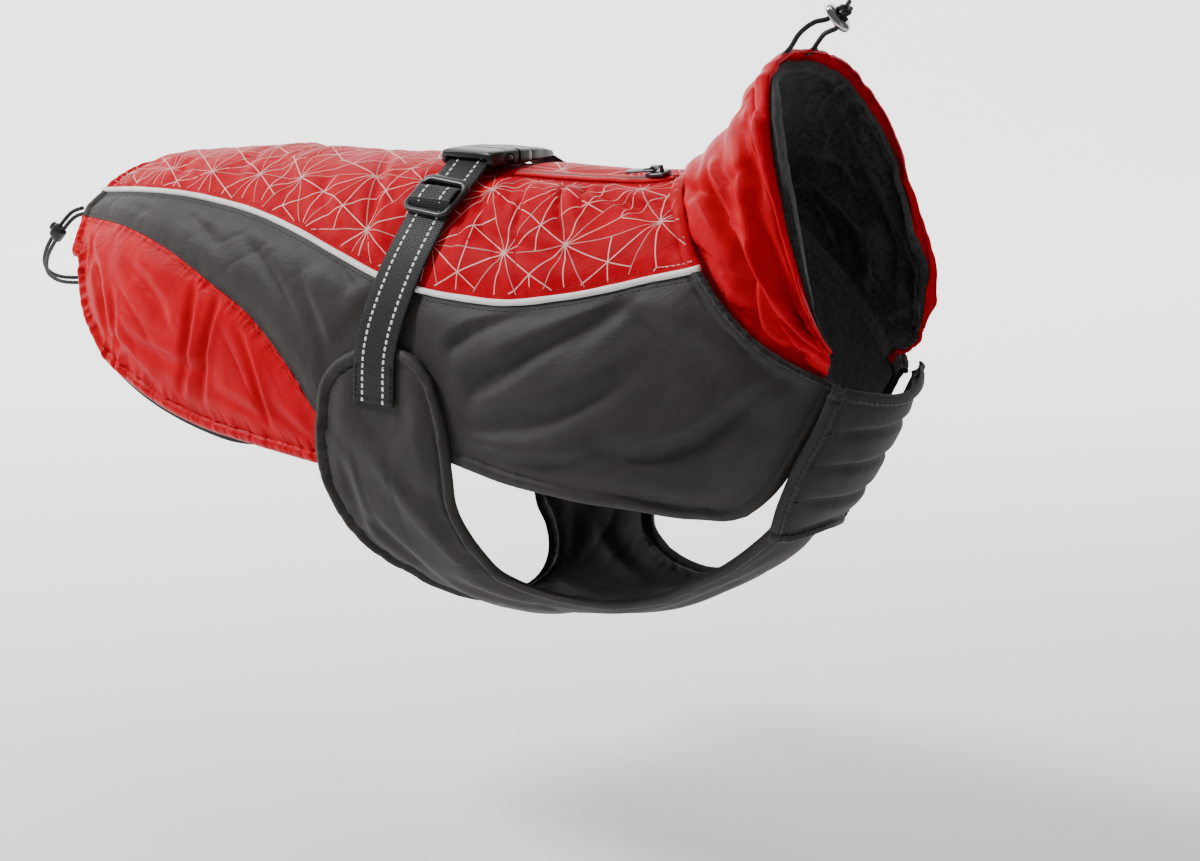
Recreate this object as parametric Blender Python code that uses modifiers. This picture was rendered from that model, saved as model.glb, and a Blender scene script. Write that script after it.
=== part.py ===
"""A padded high-visibility dog coat, worn and hollow.

+X points to the head, +Y to the wearer's left and +Z up. The origin is where the middle of the
wearer's back meets the lining. All sizes are in millimetres until a mesh is made. A place on the
coat is given the way a pattern cutter would: `along`, the distance along the back of the ring
that it lies on, and `angle`, how far round that ring it is, in degrees from the top, positive
down the right side.
"""
import math

import bmesh
import bpy
import numpy as np
from mathutils import Matrix, Vector

MM = 0.001
BODY_DEGREE = 1.45          # mm of cloth for each degree round the body, on average
NECK_DEGREE = 0.95          # the same round the collar

# ---- cloth and trim thicknesses ----
GAP = 0.3                   # air between neighbouring pieces
SEAM_GAP = 0.7              # the same beside the piping, whose facets are short straight lines
HIP_GAP = 1.3               # and along the hip's sharply curved seam
LINING_WALL = 1.0
SHELL_WALL = 1.5            # outer cloth with its thin wadding
STRAP_WALL = 2.0            # padded belly panel and chest band
FLEECE_WALL = 1.2           # fleece inside the collar
WEBBING_WALL = 1.2
WEBBING_WIDTH = 25.0
PIPING_RADIUS = 1.7
CORD_RADIUS = 1.2
ELASTIC_RADIUS = 1.1

# ---- how far each layer lies out from the wearer ----
LINING_LIFT = -1.0
SHELL_LIFT = LINING_WALL + GAP
SHELL_TOP = SHELL_LIFT + SHELL_WALL
BELLY_LIFT = SHELL_TOP + 1.0
BELLY_TOP = BELLY_LIFT + STRAP_WALL
BAND_LIFT = BELLY_TOP + 2.7

# ---- relief of the padded cloth ----
HEM_WIDTH = 6.0             # from the edge to the line of stitches
HEM_ROLL = 0.7
PUFF = 1.6                  # how far the wadding stands out between seams
PUFF_REACH = 7.0
BAND_PUFF = 0.8
EDGE_STEPS = (0.0, 3.0, HEM_WIDTH, 10.0)
GATHER_DEPTH = 0.9          # waves that the drawcord pulls into the collar's tunnel
GATHER_REACH = 14.0
GATHER_END = (95.0, 125.0)  # the angles over which they die out towards the throat
PRESS_WEBBING = 12.0        # the wadding is flat this far from the belt's middle

# ---- the worn form: one ring for each row ----
# along, top x, top z, low x, low z, half width, widest (share of the way down), squareness, bow
BODY = (
    (-222, -222, -18, -218, -183, 57, 0.50, 2.2, 0),
    (-150, -150, -5, -146, -194, 74, 0.50, 2.3, 0),
    (-80, -80, -1, -72, -201, 79, 0.50, 2.3, 0),
    (0, 0, 1, 16, -206, 80, 0.50, 2.3, 0),
    (70, 70, 1, 103, -203, 77, 0.50, 2.3, 0),
    (120, 120, 1, 174, -185, 72, 0.50, 2.2, 0),
    (150, 150, 2, 224, -149, 62, 0.49, 2.1, -2),
    (178, 178, 7, 263, -86, 51, 0.48, 2.0, -4),
    (184, 184, 8, 270, -73, 49, 0.48, 2.0, -4),
)
# The collar's rings: `along` is the rise of the cloth up the centre back from its sewn edge.
COLLAR = (
    (0, 161, 0, 266, -85, 49, 0.48, 2.0, -3),
    (10, 167.5, 8, 268, -82, 51, 0.48, 2.0, -1),
    (22, 173.5, 16.5, 269, -80, 53, 0.48, 2.1, 0),
    (40, 187, 27, 268, -79, 54, 0.49, 2.2, 2),
    (56, 198.5, 38, 267, -78, 54, 0.50, 2.3, 3),
    (70, 207, 51, 266, -76, 53, 0.50, 2.4, 4),
    (80, 214, 58, 265, -75, 53, 0.51, 2.45, 5),
    (88, 222, 63, 264, -74, 52, 0.51, 2.5, 5),
    (102, 234, 70, 263, -72, 51, 0.51, 2.5, 5),
)
AXIS_HEIGHT = -100.0        # height of the body's middle
NECK_MIDDLE = (245.0, -15.0)            # x and z of the collar's middle
COLLAR_ROWS = (0, 5, 12, 21, 32, 44, 56, 68, 78, 82, 85, 88)
COLLAR_COLUMNS = 41
COLLAR_RIM = 88.0
SEW_DEPTH = 5.0             # how far the collar's sewn edge reaches under the neckline
SEW_INSET = 2.8             # how far under the body's surface it lies there
BASE_SLACK = 0.9            # extra room for the fleece where the collar turns upwards
SEW_CLEAR = 1.6             # how far in front of the neckline it comes out
FREE_RISE = 20.0            # where the collar has taken its own form
BASE_HALF_ANGLE = 143.0     # half the collar's way round, at the neckline and at the rim
RIM_HALF_ANGLE = 137.0
FLEECE_FROM = 56.0          # above this rise the fleece's rows spread out to its own edge
# angle, how far the fleece stands past the rim
FLEECE_REACH = ((-137, 0), (-100, -5), (-30, -5), (10, -5), (30, -1), (48, 5), (80, 8), (137, 8))

# ---- outlines of the pieces, (along, angle) on the right side ----
NECK_EDGE = ((164.5, 0), (168, 15), (172.3, 30), (175.6, 45), (177, 76), (178, 110),
             (180, 143), (180, 150))
# the fleece's front edge, just behind the collar's sewn edge
LINING_NECK = ((177.5, 148.5), (176.4, 130), (175, 110), (173.7, 76), (171.5, 45), (168, 30),
               (163.8, 15), (160.2, 0))
TAIL_HEM = ((-203, 0), (-205, 15), (-208, 30))
TAIL_CORNER = (-217, 38)
PIPING = ((-208, 31), (-155, 36), (-111, 38.5), (-69, 42.5), (-28, 49), (2, 55), (29, 60),
          (59, 63), (90, 64), (123, 63), (156, 65), (177, 74))
HIP_SEAM = ((-214, 45), (-156, 53), (-117, 60), (-83, 68), (-51, 76), (-31, 84), (-12, 93),
            (2, 100))
HIP_HEM = ((-214, 45), (-209, 56), (-204, 64), (-198, 76), (-191, 84), (-175, 92),
           (-147, 98), (-117, 103), (-81, 106), (-45, 105), (2, 101.5))
SIDE_HEM = ((2, 100), (61, 101), (80, 105), (108, 111), (126, 120), (141, 135), (151, 148))
SIDE_FRONT = ((151, 148), (158, 151), (168, 151), (180, 150))
WING_SPAN = 68.0            # width of the belly panel's wings
WING_TOP = ((4, 84), (13, 81), (23, 79), (34, 78), (43, 78), (53, 80), (60, 84))
WING_REAR = ((4, 84), (-3, 88), (-8, 96), (-11, 106), (-9, 117), (-3, 130), (3, 137), (13, 144),
             (26, 160), (30, 180))
WING_FRONT = ((60, 84), (64, 92), (63, 104), (61, 112), (64, 126), (68, 137), (80, 146))
BELLY_JOIN = ((80, 146), (88, 158), (90, 180))
CHEST_SIDE = ((80, 146), (94, 152), (106, 156), (118, 158), (132, 158.5), (146, 158), (160, 159))
CHEST_TOP = ((160, 159), (165, 170), (166, 180))
BAND_SIDE = ((181, 143), (172, 146), (164, 147), (157, 150), (149, 157))
BAND_LOW = ((149, 157), (150, 164), (152, 172), (153, 180))

# ---- largest folds: along, angle, heading, length, width, depth ----
# Heading is in the cloth's plane, 0 towards the head and 90 down the side.
SIDE_FOLDS = (
    (100, 88, -38, 70, 5, 1.2), (112, 96, -24, 76, 5, 0.9), (92, 76, -52, 60, 6, 1.3),
    (140, 112, -30, 50, 5, 0.8), (-20, 70, 60, 40, 5, 0.8), (-60, 56, 22, 60, 6, 0.7),
)
HIP_FOLDS = (
    (-158, 72, 74, 46, 4, 1.2), (-134, 82, 66, 44, 4, 1.0), (-108, 84, 52, 48, 4, 1.1),
    (-82, 92, 48, 36, 4, 0.8), (-172, 62, 82, 30, 4, 0.7),
)
BACK_FOLDS = (
    (120, 38, -58, 44, 5, 1.1), (92, 30, 64, 40, 5, 0.8), (140, 50, 80, 34, 4, 0.9),
    (-20, 30, 75, 46, 6, 0.8), (-90, 24, 84, 44, 6, 0.7), (-150, 20, 88, 36, 6, 0.6),
)
BELLY_FOLDS = (
    (24, 112, 76, 44, 4, 1.2), (38, 122, 64, 40, 4, 1.1), (14, 126, 58, 30, 4, 0.8),
    (50, 150, 88, 36, 5, 0.9), (122, 170, 10, 40, 5, 0.8),
)
COLLAR_FOLDS = (
    (34, 34, 62, 62, 7, 3.0), (50, 62, 58, 66, 7, 3.0), (30, 78, 66, 52, 7, 2.6),
    (58, 20, 50, 40, 6, 2.2), (44, 104, 70, 44, 6, 2.2), (60, 92, 64, 34, 6, 1.6),
)
LEFT_SHIFT = 5.0            # the left side's folds are alike but not the same
LEFT_DEPTH = 0.85

# ---- belt ----
# along, angle, and whether it lies on the wing (1) or on the shell (0)
WEBBING_PATH = ((29, 90, 1), (32, 79, 1), (40, 61, 0), (46, 46, 0), (48, 34, 0), (49, 27, 0))
SLIDER_AT = (48, 33)
SLIDER_SIZE = (31.0, 24.0, 3.0)
SLIDER_BAR = 3.4
SLIDER_HEADING = (0.1, 1.0, 0.6)
BUCKLE_X = 50.0
BUCKLE_Y = -4.0
BUCKLE_WIDTH = 33.0
BUCKLE_HEIGHT = 8.0
FEMALE_LENGTH = 31.0
MALE_LENGTH = 20.0
BUCKLE_FOOT = 4.9           # height of the buckle's underside over the origin
BAR_SLOT = 4.0              # slot behind the bar that the webbing goes round
BAR_INSET = 6.0             # from a half's outer end to the middle of that slot
SIDE_WINDOW = (5.0, 13.0, 4.6)          # opening for each release prong
WEBBING_ENTRY = 3.0         # height of the webbing's end over the buckle's underside

# ---- lead opening ----
ZIP_ANGLE = 10.5
ZIP_REAR = 71.0
ZIP_FRONT = 161.0
ZIP_TAPE_WIDTH = 9.0
ZIP_TAPE_WALL = 0.8
ZIP_BODY = (11.0, 7.0, 2.2)
ZIP_BODY_AT = 152.0
ZIP_CROWN = (7.0, 2.2, 3.6)
ZIP_TUNNEL = (4.2, 2.2)
ZIP_PULL = (17.0, 5.6, 1.3)
ZIP_WINDOW = (6.0, 3.2)

# ---- collar drawcord: points from its eyelets to the stopper ----
EYELET_RIGHT = (85, 13)     # rise and angle on the collar
EYELET_LEFT = (86, -6)
CORD_RIGHT = ((221, -12, 65), (224.5, -9, 72), (229, -4.5, 76.6))
CORD_LEFT = ((225.8, 4.6, 68.5), (229.6, 2.5, 71.3), (233.5, 1, 72.8))
CORD_RUN = (0.75, 0.0, 0.66)            # the way the cords leave through the stopper
CORD_LEAD = 3.4             # straight stretch on either side of the hole's middle
STOPPER_AT = (238.0, 0.0, 78.5)
STOPPER_SIZE = (15.0, 9.0, 5.0)
STOPPER_HOLES = (2.8, -2.8)             # right and left cord, along the stopper
HOLE_CLEARANCE = 0.9
KNOT_RADIUS = 4.0

# ---- rump elastic: right half, from the tail corner to behind the rump ----
ELASTIC = ((-216, -43, -35), (-222.5, -44.2, -37.2), (-231, -47, -45.5), (-240.5, -47, -55),
           (-250.5, -43, -63.5), (-260, -35, -73), (-265, -24, -79), (-268, -12, -82),
           (-269, 0, -83))
ELASTIC_PITCH = 3.2
ELASTIC_SPREAD = (-0.5, 0.0, 0.87)      # direction from the lower cord to the upper one
LOCK_AT = 0.12              # share of the elastic's length from the right corner
LOCK_SIZE = (9.0, 5.0, 8.0)

COLOURS = {
    "red_print": (0.75, 0.022, 0.018), "red_satin": (0.76, 0.018, 0.014),
    "softshell": (0.048, 0.043, 0.038), "fleece": (0.026, 0.026, 0.025),
    "reflective": (0.86, 0.84, 0.80), "webbing": (0.017, 0.018, 0.020),
    "plastic": (0.022, 0.022, 0.024), "cord": (0.012, 0.012, 0.012),
    "gunmetal": (0.42, 0.41, 0.40), "hook_band": (0.040, 0.039, 0.038),
}
FINISH = {"red_print": 0.42, "red_satin": 0.35, "softshell": 0.7, "fleece": 0.95,
          "reflective": 0.45, "webbing": 0.75, "plastic": 0.35, "cord": 0.6,
          "gunmetal": 0.22, "hook_band": 0.8}


# ---------------------------------------------------------------- curves and surfaces

def cubic(stops, values, at):
    """A smooth curve through the rows of `values`, read at `at`."""
    stops = np.asarray(stops, float)
    values = np.asarray(values, float)
    at = np.asarray(at, float)
    slopes = np.gradient(values, stops, axis=0)
    i = np.clip(np.searchsorted(stops, at) - 1, 0, len(stops) - 2)
    step = stops[i + 1] - stops[i]
    t = (at - stops[i]) / step
    shape = at.shape + (1,) * (values.ndim - 1)
    t = t.reshape(shape)
    step = step.reshape(shape)
    ease = t * t * (3 - 2 * t)
    start = values[i] * (1 - ease) + slopes[i] * step * t * (1 - t) ** 2
    return start + values[i + 1] * ease - slopes[i + 1] * step * t * t * (1 - t)


def path_through(rows, fractions):
    """Read a smooth path through the rows at fractions of its length."""
    rows = np.asarray(rows, float)
    scale = np.array([1.0, BODY_DEGREE]) if rows.shape[1] == 2 else np.ones(rows.shape[1])
    chord = np.linalg.norm(np.diff(rows * scale, axis=0), axis=1)
    stops = np.concatenate([[0.0], np.cumsum(chord)])
    return cubic(stops / stops[-1], rows, fractions)


class Tube:
    """A smooth tube through a table of rings."""

    def __init__(self, rows):
        table = np.array(rows, float)
        self.stops = table[:, 0]
        self.columns = table[:, 1:]

    def point(self, along, angle):
        along, angle = np.broadcast_arrays(np.asarray(along, float), np.asarray(angle, float))
        ring = cubic(self.stops, self.columns, along)
        top_x, top_z, low_x, low_z, half_width, widest, square, bow = np.moveaxis(ring, -1, 0)
        turn = np.radians(angle)
        power = 2.0 / square
        cosine = np.sign(np.cos(turn)) * np.abs(np.cos(turn)) ** power
        sine = np.sign(np.sin(turn)) * np.abs(np.sin(turn)) ** power
        down = (1 - cosine) / 2
        down = down + (widest - 0.5) * 4 * down * (1 - down)
        run_x, run_z = low_x - top_x, low_z - top_z
        span = np.hypot(run_x, run_z)
        sway = bow * 4 * down * (1 - down) / span
        return np.stack([top_x + run_x * down - run_z * sway, -half_width * sine,
                         top_z + run_z * down + run_x * sway], -1)

    def normal(self, along, angle):
        reach = 1.0
        forward = self.point(np.asarray(along) + reach, angle)
        forward = forward - self.point(np.asarray(along) - reach, angle)
        round_it = self.point(along, np.asarray(angle) + reach)
        round_it = round_it - self.point(along, np.asarray(angle) - reach)
        out = np.cross(round_it, forward)
        return out / np.linalg.norm(out, axis=-1, keepdims=True)

    def place(self, along, angle, lift):
        lift = np.asarray(lift, float)[..., None]
        return self.point(along, angle) + self.normal(along, angle) * lift

    def stretch(self, along, angle):
        """Millimetres of cloth for one unit of `along` and for one degree."""
        half = 0.5
        forward = self.point(along + half, angle) - self.point(along - half, angle)
        round_it = self.point(along, angle + half) - self.point(along, angle - half)
        return np.linalg.norm(forward, axis=-1), np.linalg.norm(round_it, axis=-1)


body = Tube(BODY)
NECK_TABLE = np.array(NECK_EDGE, float)


def smooth_step(value, low, high):
    share = np.clip((value - low) / (high - low), 0, 1)
    return share * share * (3 - 2 * share)


class Collar(Tube):
    """A tube that starts inside the body's neckline and rises into its own rings."""

    def point(self, along, angle):
        rise, angle = np.broadcast_arrays(np.asarray(along, float), np.asarray(angle, float))
        edge = cubic(NECK_TABLE[:, 1], NECK_TABLE[:, 0], np.abs(angle))
        past = np.minimum(rise, SEW_DEPTH + 2) - SEW_DEPTH + SEW_CLEAR
        sewn = body.place(edge + past / body.stretch(edge, angle)[0], angle, -SEW_INSET)
        free = super().point(rise, angle)
        return sewn + (free - sewn) * smooth_step(rise, SEW_DEPTH, FREE_RISE)[..., None]


neck = Collar(COLLAR)


def mirrored(rows):
    """The same outline on the left side."""
    return tuple((row[0], -row[1]) for row in rows)


def dense(rows, count=61):
    """A smooth outline as many short steps."""
    return path_through(rows, np.linspace(0, 1, count))


def moved(line, reach):
    """A right-side outline moved `reach` mm down the side, square to itself."""
    stretch = np.stack(body.stretch(line[:, 0], line[:, 1]), -1)
    run = np.gradient(line, axis=0) * stretch
    run = run / np.linalg.norm(run, axis=1, keepdims=True)
    square = np.stack([-run[:, 1], run[:, 0]], -1)
    return line + square * reach / stretch


def across(rows):
    """A right-hand outline joined to its mirror image, from right to left over angle 0 or 180."""
    far = tuple((along, 360 - angle) if rows[-1][1] > 90 else (along, -angle)
                for along, angle in rows[:-1])
    return tuple(rows) + far[::-1]


def coons(first, last, start, end, s, t):
    """Blend four edges: `first` and `last` run with t, `start` and `end` run with s."""
    s = s[..., None]
    t = t[..., None]
    a, b = path_through(first, t[..., 0]), path_through(last, t[..., 0])
    c, d = path_through(start, s[..., 0]), path_through(end, s[..., 0])
    p00, p01 = np.array(first[0], float), np.array(first[-1], float)
    p10, p11 = np.array(last[0], float), np.array(last[-1], float)
    ruled = a * (1 - s) + b * s + c * (1 - t) + d * t
    return ruled - (p00 * (1 - s) * (1 - t) + p01 * (1 - s) * t + p10 * s * (1 - t) + p11 * s * t)


def stops_for(length, inner, begin, finish):
    """Fractions of a line with close steps where it meets a hem or seam."""
    lead = np.array(EDGE_STEPS)
    lead = lead * min(1.0, length / (3.2 * lead[-1]))
    low = lead if begin else lead[:1]
    high = length - lead[::-1] if finish else np.array([length])
    middle = np.linspace(low[-1], high[0], inner + 2)[1:-1]
    return np.concatenate([low, middle, high]) / length


def grid_on(form, edges, cols, rows, close=(True, True, True, True)):
    """(along, angle) of a grid inside four edges: rear, front, upper and lower."""
    rear, front, upper, lower = edges
    coarse = np.linspace(0, 1, 25)
    s, t = np.meshgrid(coarse, coarse, indexing="ij")
    rough = coons(rear, front, upper, lower, s, t)
    shape = form.point(rough[..., 0], rough[..., 1])
    down = np.linalg.norm(np.diff(shape, axis=1), axis=-1).sum(1)
    forward = np.linalg.norm(np.diff(shape, axis=0), axis=-1).sum(0)
    t_lines = np.array([stops_for(length, rows, close[2], close[3]) for length in down])
    s_lines = np.array([stops_for(length, cols, close[0], close[1]) for length in forward])
    s_mean, t_mean = s_lines.mean(0), t_lines.mean(0)
    t_grid = np.array([[np.interp(a, coarse, t_lines[:, j]) for j in range(len(t_mean))]
                       for a in s_mean])
    s_grid = np.array([[np.interp(b, coarse, s_lines[:, i]) for b in t_mean]
                       for i in range(len(s_mean))])
    return coons(rear, front, upper, lower, s_grid, t_grid)


def line_on(form, rows, lift=0.0, count=160):
    """Points in space along an outline."""
    line = path_through(rows, np.linspace(0, 1, count))
    return form.place(line[:, 0], line[:, 1], np.full(count, lift))


def distance(points, line):
    """Distance from each point to the nearest point of a line."""
    flat = points.reshape(-1, 3)
    gap = np.full(len(flat), np.inf)
    for place in line:
        gap = np.minimum(gap, np.linalg.norm(flat - place, axis=1))
    return gap.reshape(points.shape[:-1])


def crease_depth(places, folds, left, degree=BODY_DEGREE):
    """Depth of the folds at each (along, angle)."""
    along, angle = places[..., 0], np.abs(places[..., 1])
    depth = np.zeros(along.shape)
    for fold_along, fold_angle, heading, length, width, deep in folds:
        shift = np.where(left, LEFT_SHIFT, 0.0)
        forward = along - fold_along - shift
        down = (angle - fold_angle) * degree
        turn = math.radians(heading)
        run = forward * math.cos(turn) + down * math.sin(turn)
        aside = down * math.cos(turn) - forward * math.sin(turn)
        strength = np.where(left, LEFT_DEPTH, 1.0) * deep
        depth += strength * np.exp(-(aside / width) ** 2 - (2 * run / length) ** 4)
    return depth


def relief(points, places, hems, seams, folds, puff=PUFF, pressed=()):
    """How far the padded cloth stands out: rolled hems, wadding and folds."""
    fill = np.ones(points.shape[:-1])
    roll = np.zeros(points.shape[:-1])
    for line in hems:
        gap = distance(points, line)
        beyond = np.clip(gap - HEM_WIDTH, 0, None)
        fill *= 1 - np.exp(-(beyond / PUFF_REACH) ** 2)
        roll = np.maximum(roll, HEM_ROLL * np.sin(np.clip(gap / HEM_WIDTH, 0, 1) * math.pi))
    for line in seams:
        fill *= 1 - np.exp(-(distance(points, line) / PUFF_REACH) ** 2)
    for line, reach in pressed:
        beyond = np.clip(distance(points, line) - reach, 0, None)
        fill *= 1 - np.exp(-(beyond / PUFF_REACH) ** 2)
    left = points[..., 1] > 0
    wadding = np.clip(puff - crease_depth(places, folds, left), 0, None)
    return roll + wadding * fill


# ---------------------------------------------------------------- Blender helpers

def clear_scene():
    for thing in list(bpy.data.objects):
        bpy.data.objects.remove(thing, do_unlink=True)


def new_collection(name):
    group = bpy.data.collections.new(name)
    bpy.context.scene.collection.children.link(group)
    return group


def finish_for(slot):
    material = bpy.data.materials.new(slot)
    material.use_nodes = True
    shader = material.node_tree.nodes["Principled BSDF"]
    shader.inputs["Base Color"].default_value = COLOURS[slot] + (1.0,)
    shader.inputs["Roughness"].default_value = FINISH[slot]
    shader.inputs["Metallic"].default_value = 1.0 if slot == "gunmetal" else 0.0
    return material


def add_object(name, data, slot, group):
    thing = bpy.data.objects.new(name, data)
    data.materials.append(finish_for(slot))
    group.objects.link(thing)
    return thing


def sheet(name, grids, out, wall, slot, group):
    """A cloth piece: one or more grids of points, welded, with a wall outwards from them."""
    mesh = bpy.data.meshes.new(name)
    work = bmesh.new()
    for grid in grids:
        verts = [[work.verts.new(Vector(point) * MM) for point in row] for row in grid]
        for i in range(len(verts) - 1):
            for j in range(len(verts[0]) - 1):
                work.faces.new((verts[i][j], verts[i][j + 1],
                                verts[i + 1][j + 1], verts[i + 1][j]))
    bmesh.ops.remove_doubles(work, verts=work.verts, dist=0.01 * MM)
    work.normal_update()
    work.faces.ensure_lookup_table()
    middle = work.faces[len(work.faces) // 2]
    if middle.normal.dot(Vector(out(middle.calc_center_median() / MM))) < 0:
        bmesh.ops.reverse_faces(work, faces=work.faces)
    work.to_mesh(mesh)
    work.free()
    mesh.shade_smooth()
    thing = add_object(name, mesh, slot, group)
    thick = thing.modifiers.new("wall", "SOLIDIFY")
    thick.thickness = wall * MM
    thick.offset = 1.0
    return thing


def away_from_axis(point):
    """Outward direction at a point of the body, for facing the sheets."""
    return (0.0, point[1], point[2] - AXIS_HEIGHT)


def away_from_neck(point):
    return (point[0] - NECK_MIDDLE[0], point[1], point[2] - NECK_MIDDLE[1])


def body_sheet(name, edges, cols, rows, lift, wall, slot, group, hems=(), seams=(), folds=(),
               close=(True, True, True, True), puff=PUFF, pressed=()):
    places = grid_on(body, edges, cols, rows, close)
    points = body.point(places[..., 0], places[..., 1])
    stand = relief(points, places, hems, seams, folds, puff, pressed)
    grid = body.place(places[..., 0], places[..., 1], lift + stand)
    return sheet(name, [grid], away_from_axis, wall, slot, group)


def tube_along(name, points, radius, slot, group, sides=2):
    """A round cord or piping through the given points."""
    curve = bpy.data.curves.new(name, "CURVE")
    curve.dimensions = "3D"
    curve.bevel_depth = radius * MM
    curve.bevel_resolution = sides
    curve.use_fill_caps = True
    spline = curve.splines.new("POLY")
    spline.points.add(len(points) - 1)
    for slot_point, point in zip(spline.points, points):
        slot_point.co = (*(Vector(point) * MM), 1.0)
    return add_object(name, curve, slot, group)


def box_mesh(name, size, bevel=0.0, segments=2):
    """A box around its own centre, with its edges rounded."""
    mesh = bpy.data.meshes.new(name)
    work = bmesh.new()
    bmesh.ops.create_cube(work, size=1.0)
    bmesh.ops.scale(work, vec=Vector(size) * MM, verts=work.verts)
    if bevel:
        bmesh.ops.bevel(work, geom=work.edges, offset=bevel * MM, segments=segments,
                        profile=0.5, affect="EDGES")
    work.to_mesh(mesh)
    work.free()
    return mesh


def rod_mesh(name, radius, length, sides=12):
    """A round bar around its own centre, along Z."""
    mesh = bpy.data.meshes.new(name)
    work = bmesh.new()
    bmesh.ops.create_cone(work, cap_ends=True, segments=sides, radius1=radius * MM,
                          radius2=radius * MM, depth=length * MM)
    work.to_mesh(mesh)
    work.free()
    return mesh


def helper(mesh, matrix, group):
    """A cutter, or a piece to be joined: left out of the part."""
    thing = bpy.data.objects.new(mesh.name, mesh)
    thing.matrix_world = matrix
    thing.hide_render = True
    thing.display_type = "WIRE"
    group.objects.link(thing)
    return thing


def combine(thing, other, operation):
    change = thing.modifiers.new(operation.lower(), "BOOLEAN")
    change.operation = operation
    change.object = other


def offset(x, y, z):
    return Matrix.Translation(Vector((x, y, z)) * MM)


def surface_frame(along, angle, lift, heading):
    """A frame on the body: X across the strap, Y along `heading` (towards the top), Z outwards."""
    place = Vector(body.place(along, angle, lift)) * MM
    out = Vector(body.normal(along, angle)).normalized()
    run = Vector(heading).normalized()
    run = (run - out * run.dot(out)).normalized()
    side = run.cross(out)
    frame = Matrix((side, run, out)).transposed().to_4x4()
    frame.translation = place
    return frame


# ---------------------------------------------------------------- cloth

def webbing_line(side):
    rows = np.array(WEBBING_PATH, float)[:, :2]
    rows[:, 1] *= side
    return line_on(body, rows)


def lower_edge():
    """The side panel's lower edge: the hip seam, the hem and the front, as one smooth line."""
    line = dense(HIP_SEAM + SIDE_HEM[1:] + SIDE_FRONT[1:], 121)
    tip = np.argmin(np.linalg.norm(line - np.array(HIP_SEAM[-1]), axis=1))
    return line, tip


def make_lining(group):
    """Fleece inside of the body, out to 2 mm from the hems, and just past the hip's."""
    inset = 1.4
    rear = across(tuple((along + 2.5, angle) for along, angle in
                        (HIP_HEM[4], HIP_HEM[3], HIP_HEM[1], TAIL_CORNER, TAIL_HEM[1],
                         TAIL_HEM[0])))
    hip = tuple((along, angle + 0.8) for along, angle in HIP_HEM[5:-2])
    lower = tuple((along, angle - inset) for along, angle in HIP_HEM[-1:] + SIDE_HEM[1:])
    lower = rear[:1] + hip + lower + ((162, 149), LINING_NECK[0])
    front = across(LINING_NECK)
    edges = (rear, front, lower, mirrored(lower))
    places = grid_on(body, edges, 16, 19, (False, False, False, False))
    grid = body.place(places[..., 0], places[..., 1], np.full(places.shape[:-1], LINING_LIFT))
    sheet("body_lining", [grid], away_from_axis, LINING_WALL, "fleece", group)


def make_back(group):
    edge = moved(dense(PIPING), -PIPING_RADIUS - SEAM_GAP)
    rear = across((tuple(edge[0]),) + TAIL_HEM[1::-1])
    front = across((tuple(edge[-1]),) + NECK_EDGE[3::-1])
    hems = (line_on(body, rear), line_on(body, front))
    seams = (line_on(body, edge), line_on(body, mirrored(edge)))
    zip_rows = ((ZIP_REAR - 4, ZIP_ANGLE), (ZIP_FRONT, ZIP_ANGLE))
    buckle = ((BUCKLE_X, 22), (BUCKLE_X, -20))
    pressed = ((line_on(body, zip_rows), ZIP_TAPE_WIDTH / 2), (line_on(body, buckle), 14.0),
               (webbing_line(1), PRESS_WEBBING), (webbing_line(-1), PRESS_WEBBING))
    body_sheet("back_panel", (rear, front, edge, np.array(mirrored(edge))), 11, 9, SHELL_LIFT,
               SHELL_WALL, "red_print", group, hems, seams, BACK_FOLDS, pressed=pressed)


def make_side(side, group):
    name = "side_panel_right" if side > 0 else "side_panel_left"
    flip = np.array((1, side))
    upper = moved(dense(PIPING), PIPING_RADIUS + SEAM_GAP)
    line, tip = lower_edge()
    lower = moved(line, -HIP_GAP / 2)
    rear = np.array((tuple(upper[0]), (-212, 36), (-215, 40), tuple(lower[0])))
    front = np.array((tuple(upper[-1]),) + NECK_EDGE[5:-1] + (tuple(lower[-1]),))
    edges = tuple(edge * flip for edge in (rear, front, upper, lower))
    hems = tuple(line_on(body, rows * flip) for rows in
                 (rear, lower[tip:], np.array(SIDE_FRONT, float), front))
    seams = (line_on(body, upper * flip), line_on(body, lower[:tip + 1] * flip))
    wing = tuple((line_on(body, np.array(rows, float) * flip), 4.0)
                 for rows in (WING_TOP, WING_FRONT[:4]))
    under_wing = ((line_on(body, np.array(((33, 86), (31, 104)), float) * flip), 30.0),)
    under_band = ((line_on(body, np.array(SIDE_FRONT, float) * flip), 10.0),)
    pressed = wing + under_wing + under_band + ((webbing_line(side), PRESS_WEBBING),)
    body_sheet(name, edges, 16, 3, SHELL_LIFT, SHELL_WALL, "softshell", group, hems, seams,
               SIDE_FOLDS, pressed=pressed)


def make_hip(side, group):
    name = "hip_panel_right" if side > 0 else "hip_panel_left"
    flip = np.array((1, side))
    line, tip = lower_edge()
    upper = moved(line, HIP_GAP / 2)[:tip - 2]
    lower = dense(HIP_HEM)
    beyond = upper[-1] + (3.0, 1.2)
    lower = np.concatenate([upper[:1] + (0.5, 2.0), lower[4:-6], [beyond]])
    rear = np.array((upper[0], lower[0]))
    front = np.array((upper[-1], lower[-1]))
    edges = tuple(edge * flip for edge in (rear, front, upper, lower))
    hems = (line_on(body, lower * flip),)
    seams = (line_on(body, upper * flip),)
    pressed = ((line_on(body, np.array(((0, 90), (0, 104)), float) * flip), 12.0),)
    body_sheet(name, edges, 12, 3, SHELL_LIFT, SHELL_WALL, "red_satin", group, hems, seams,
               HIP_FOLDS, close=(False, False, True, True), pressed=pressed)


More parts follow.
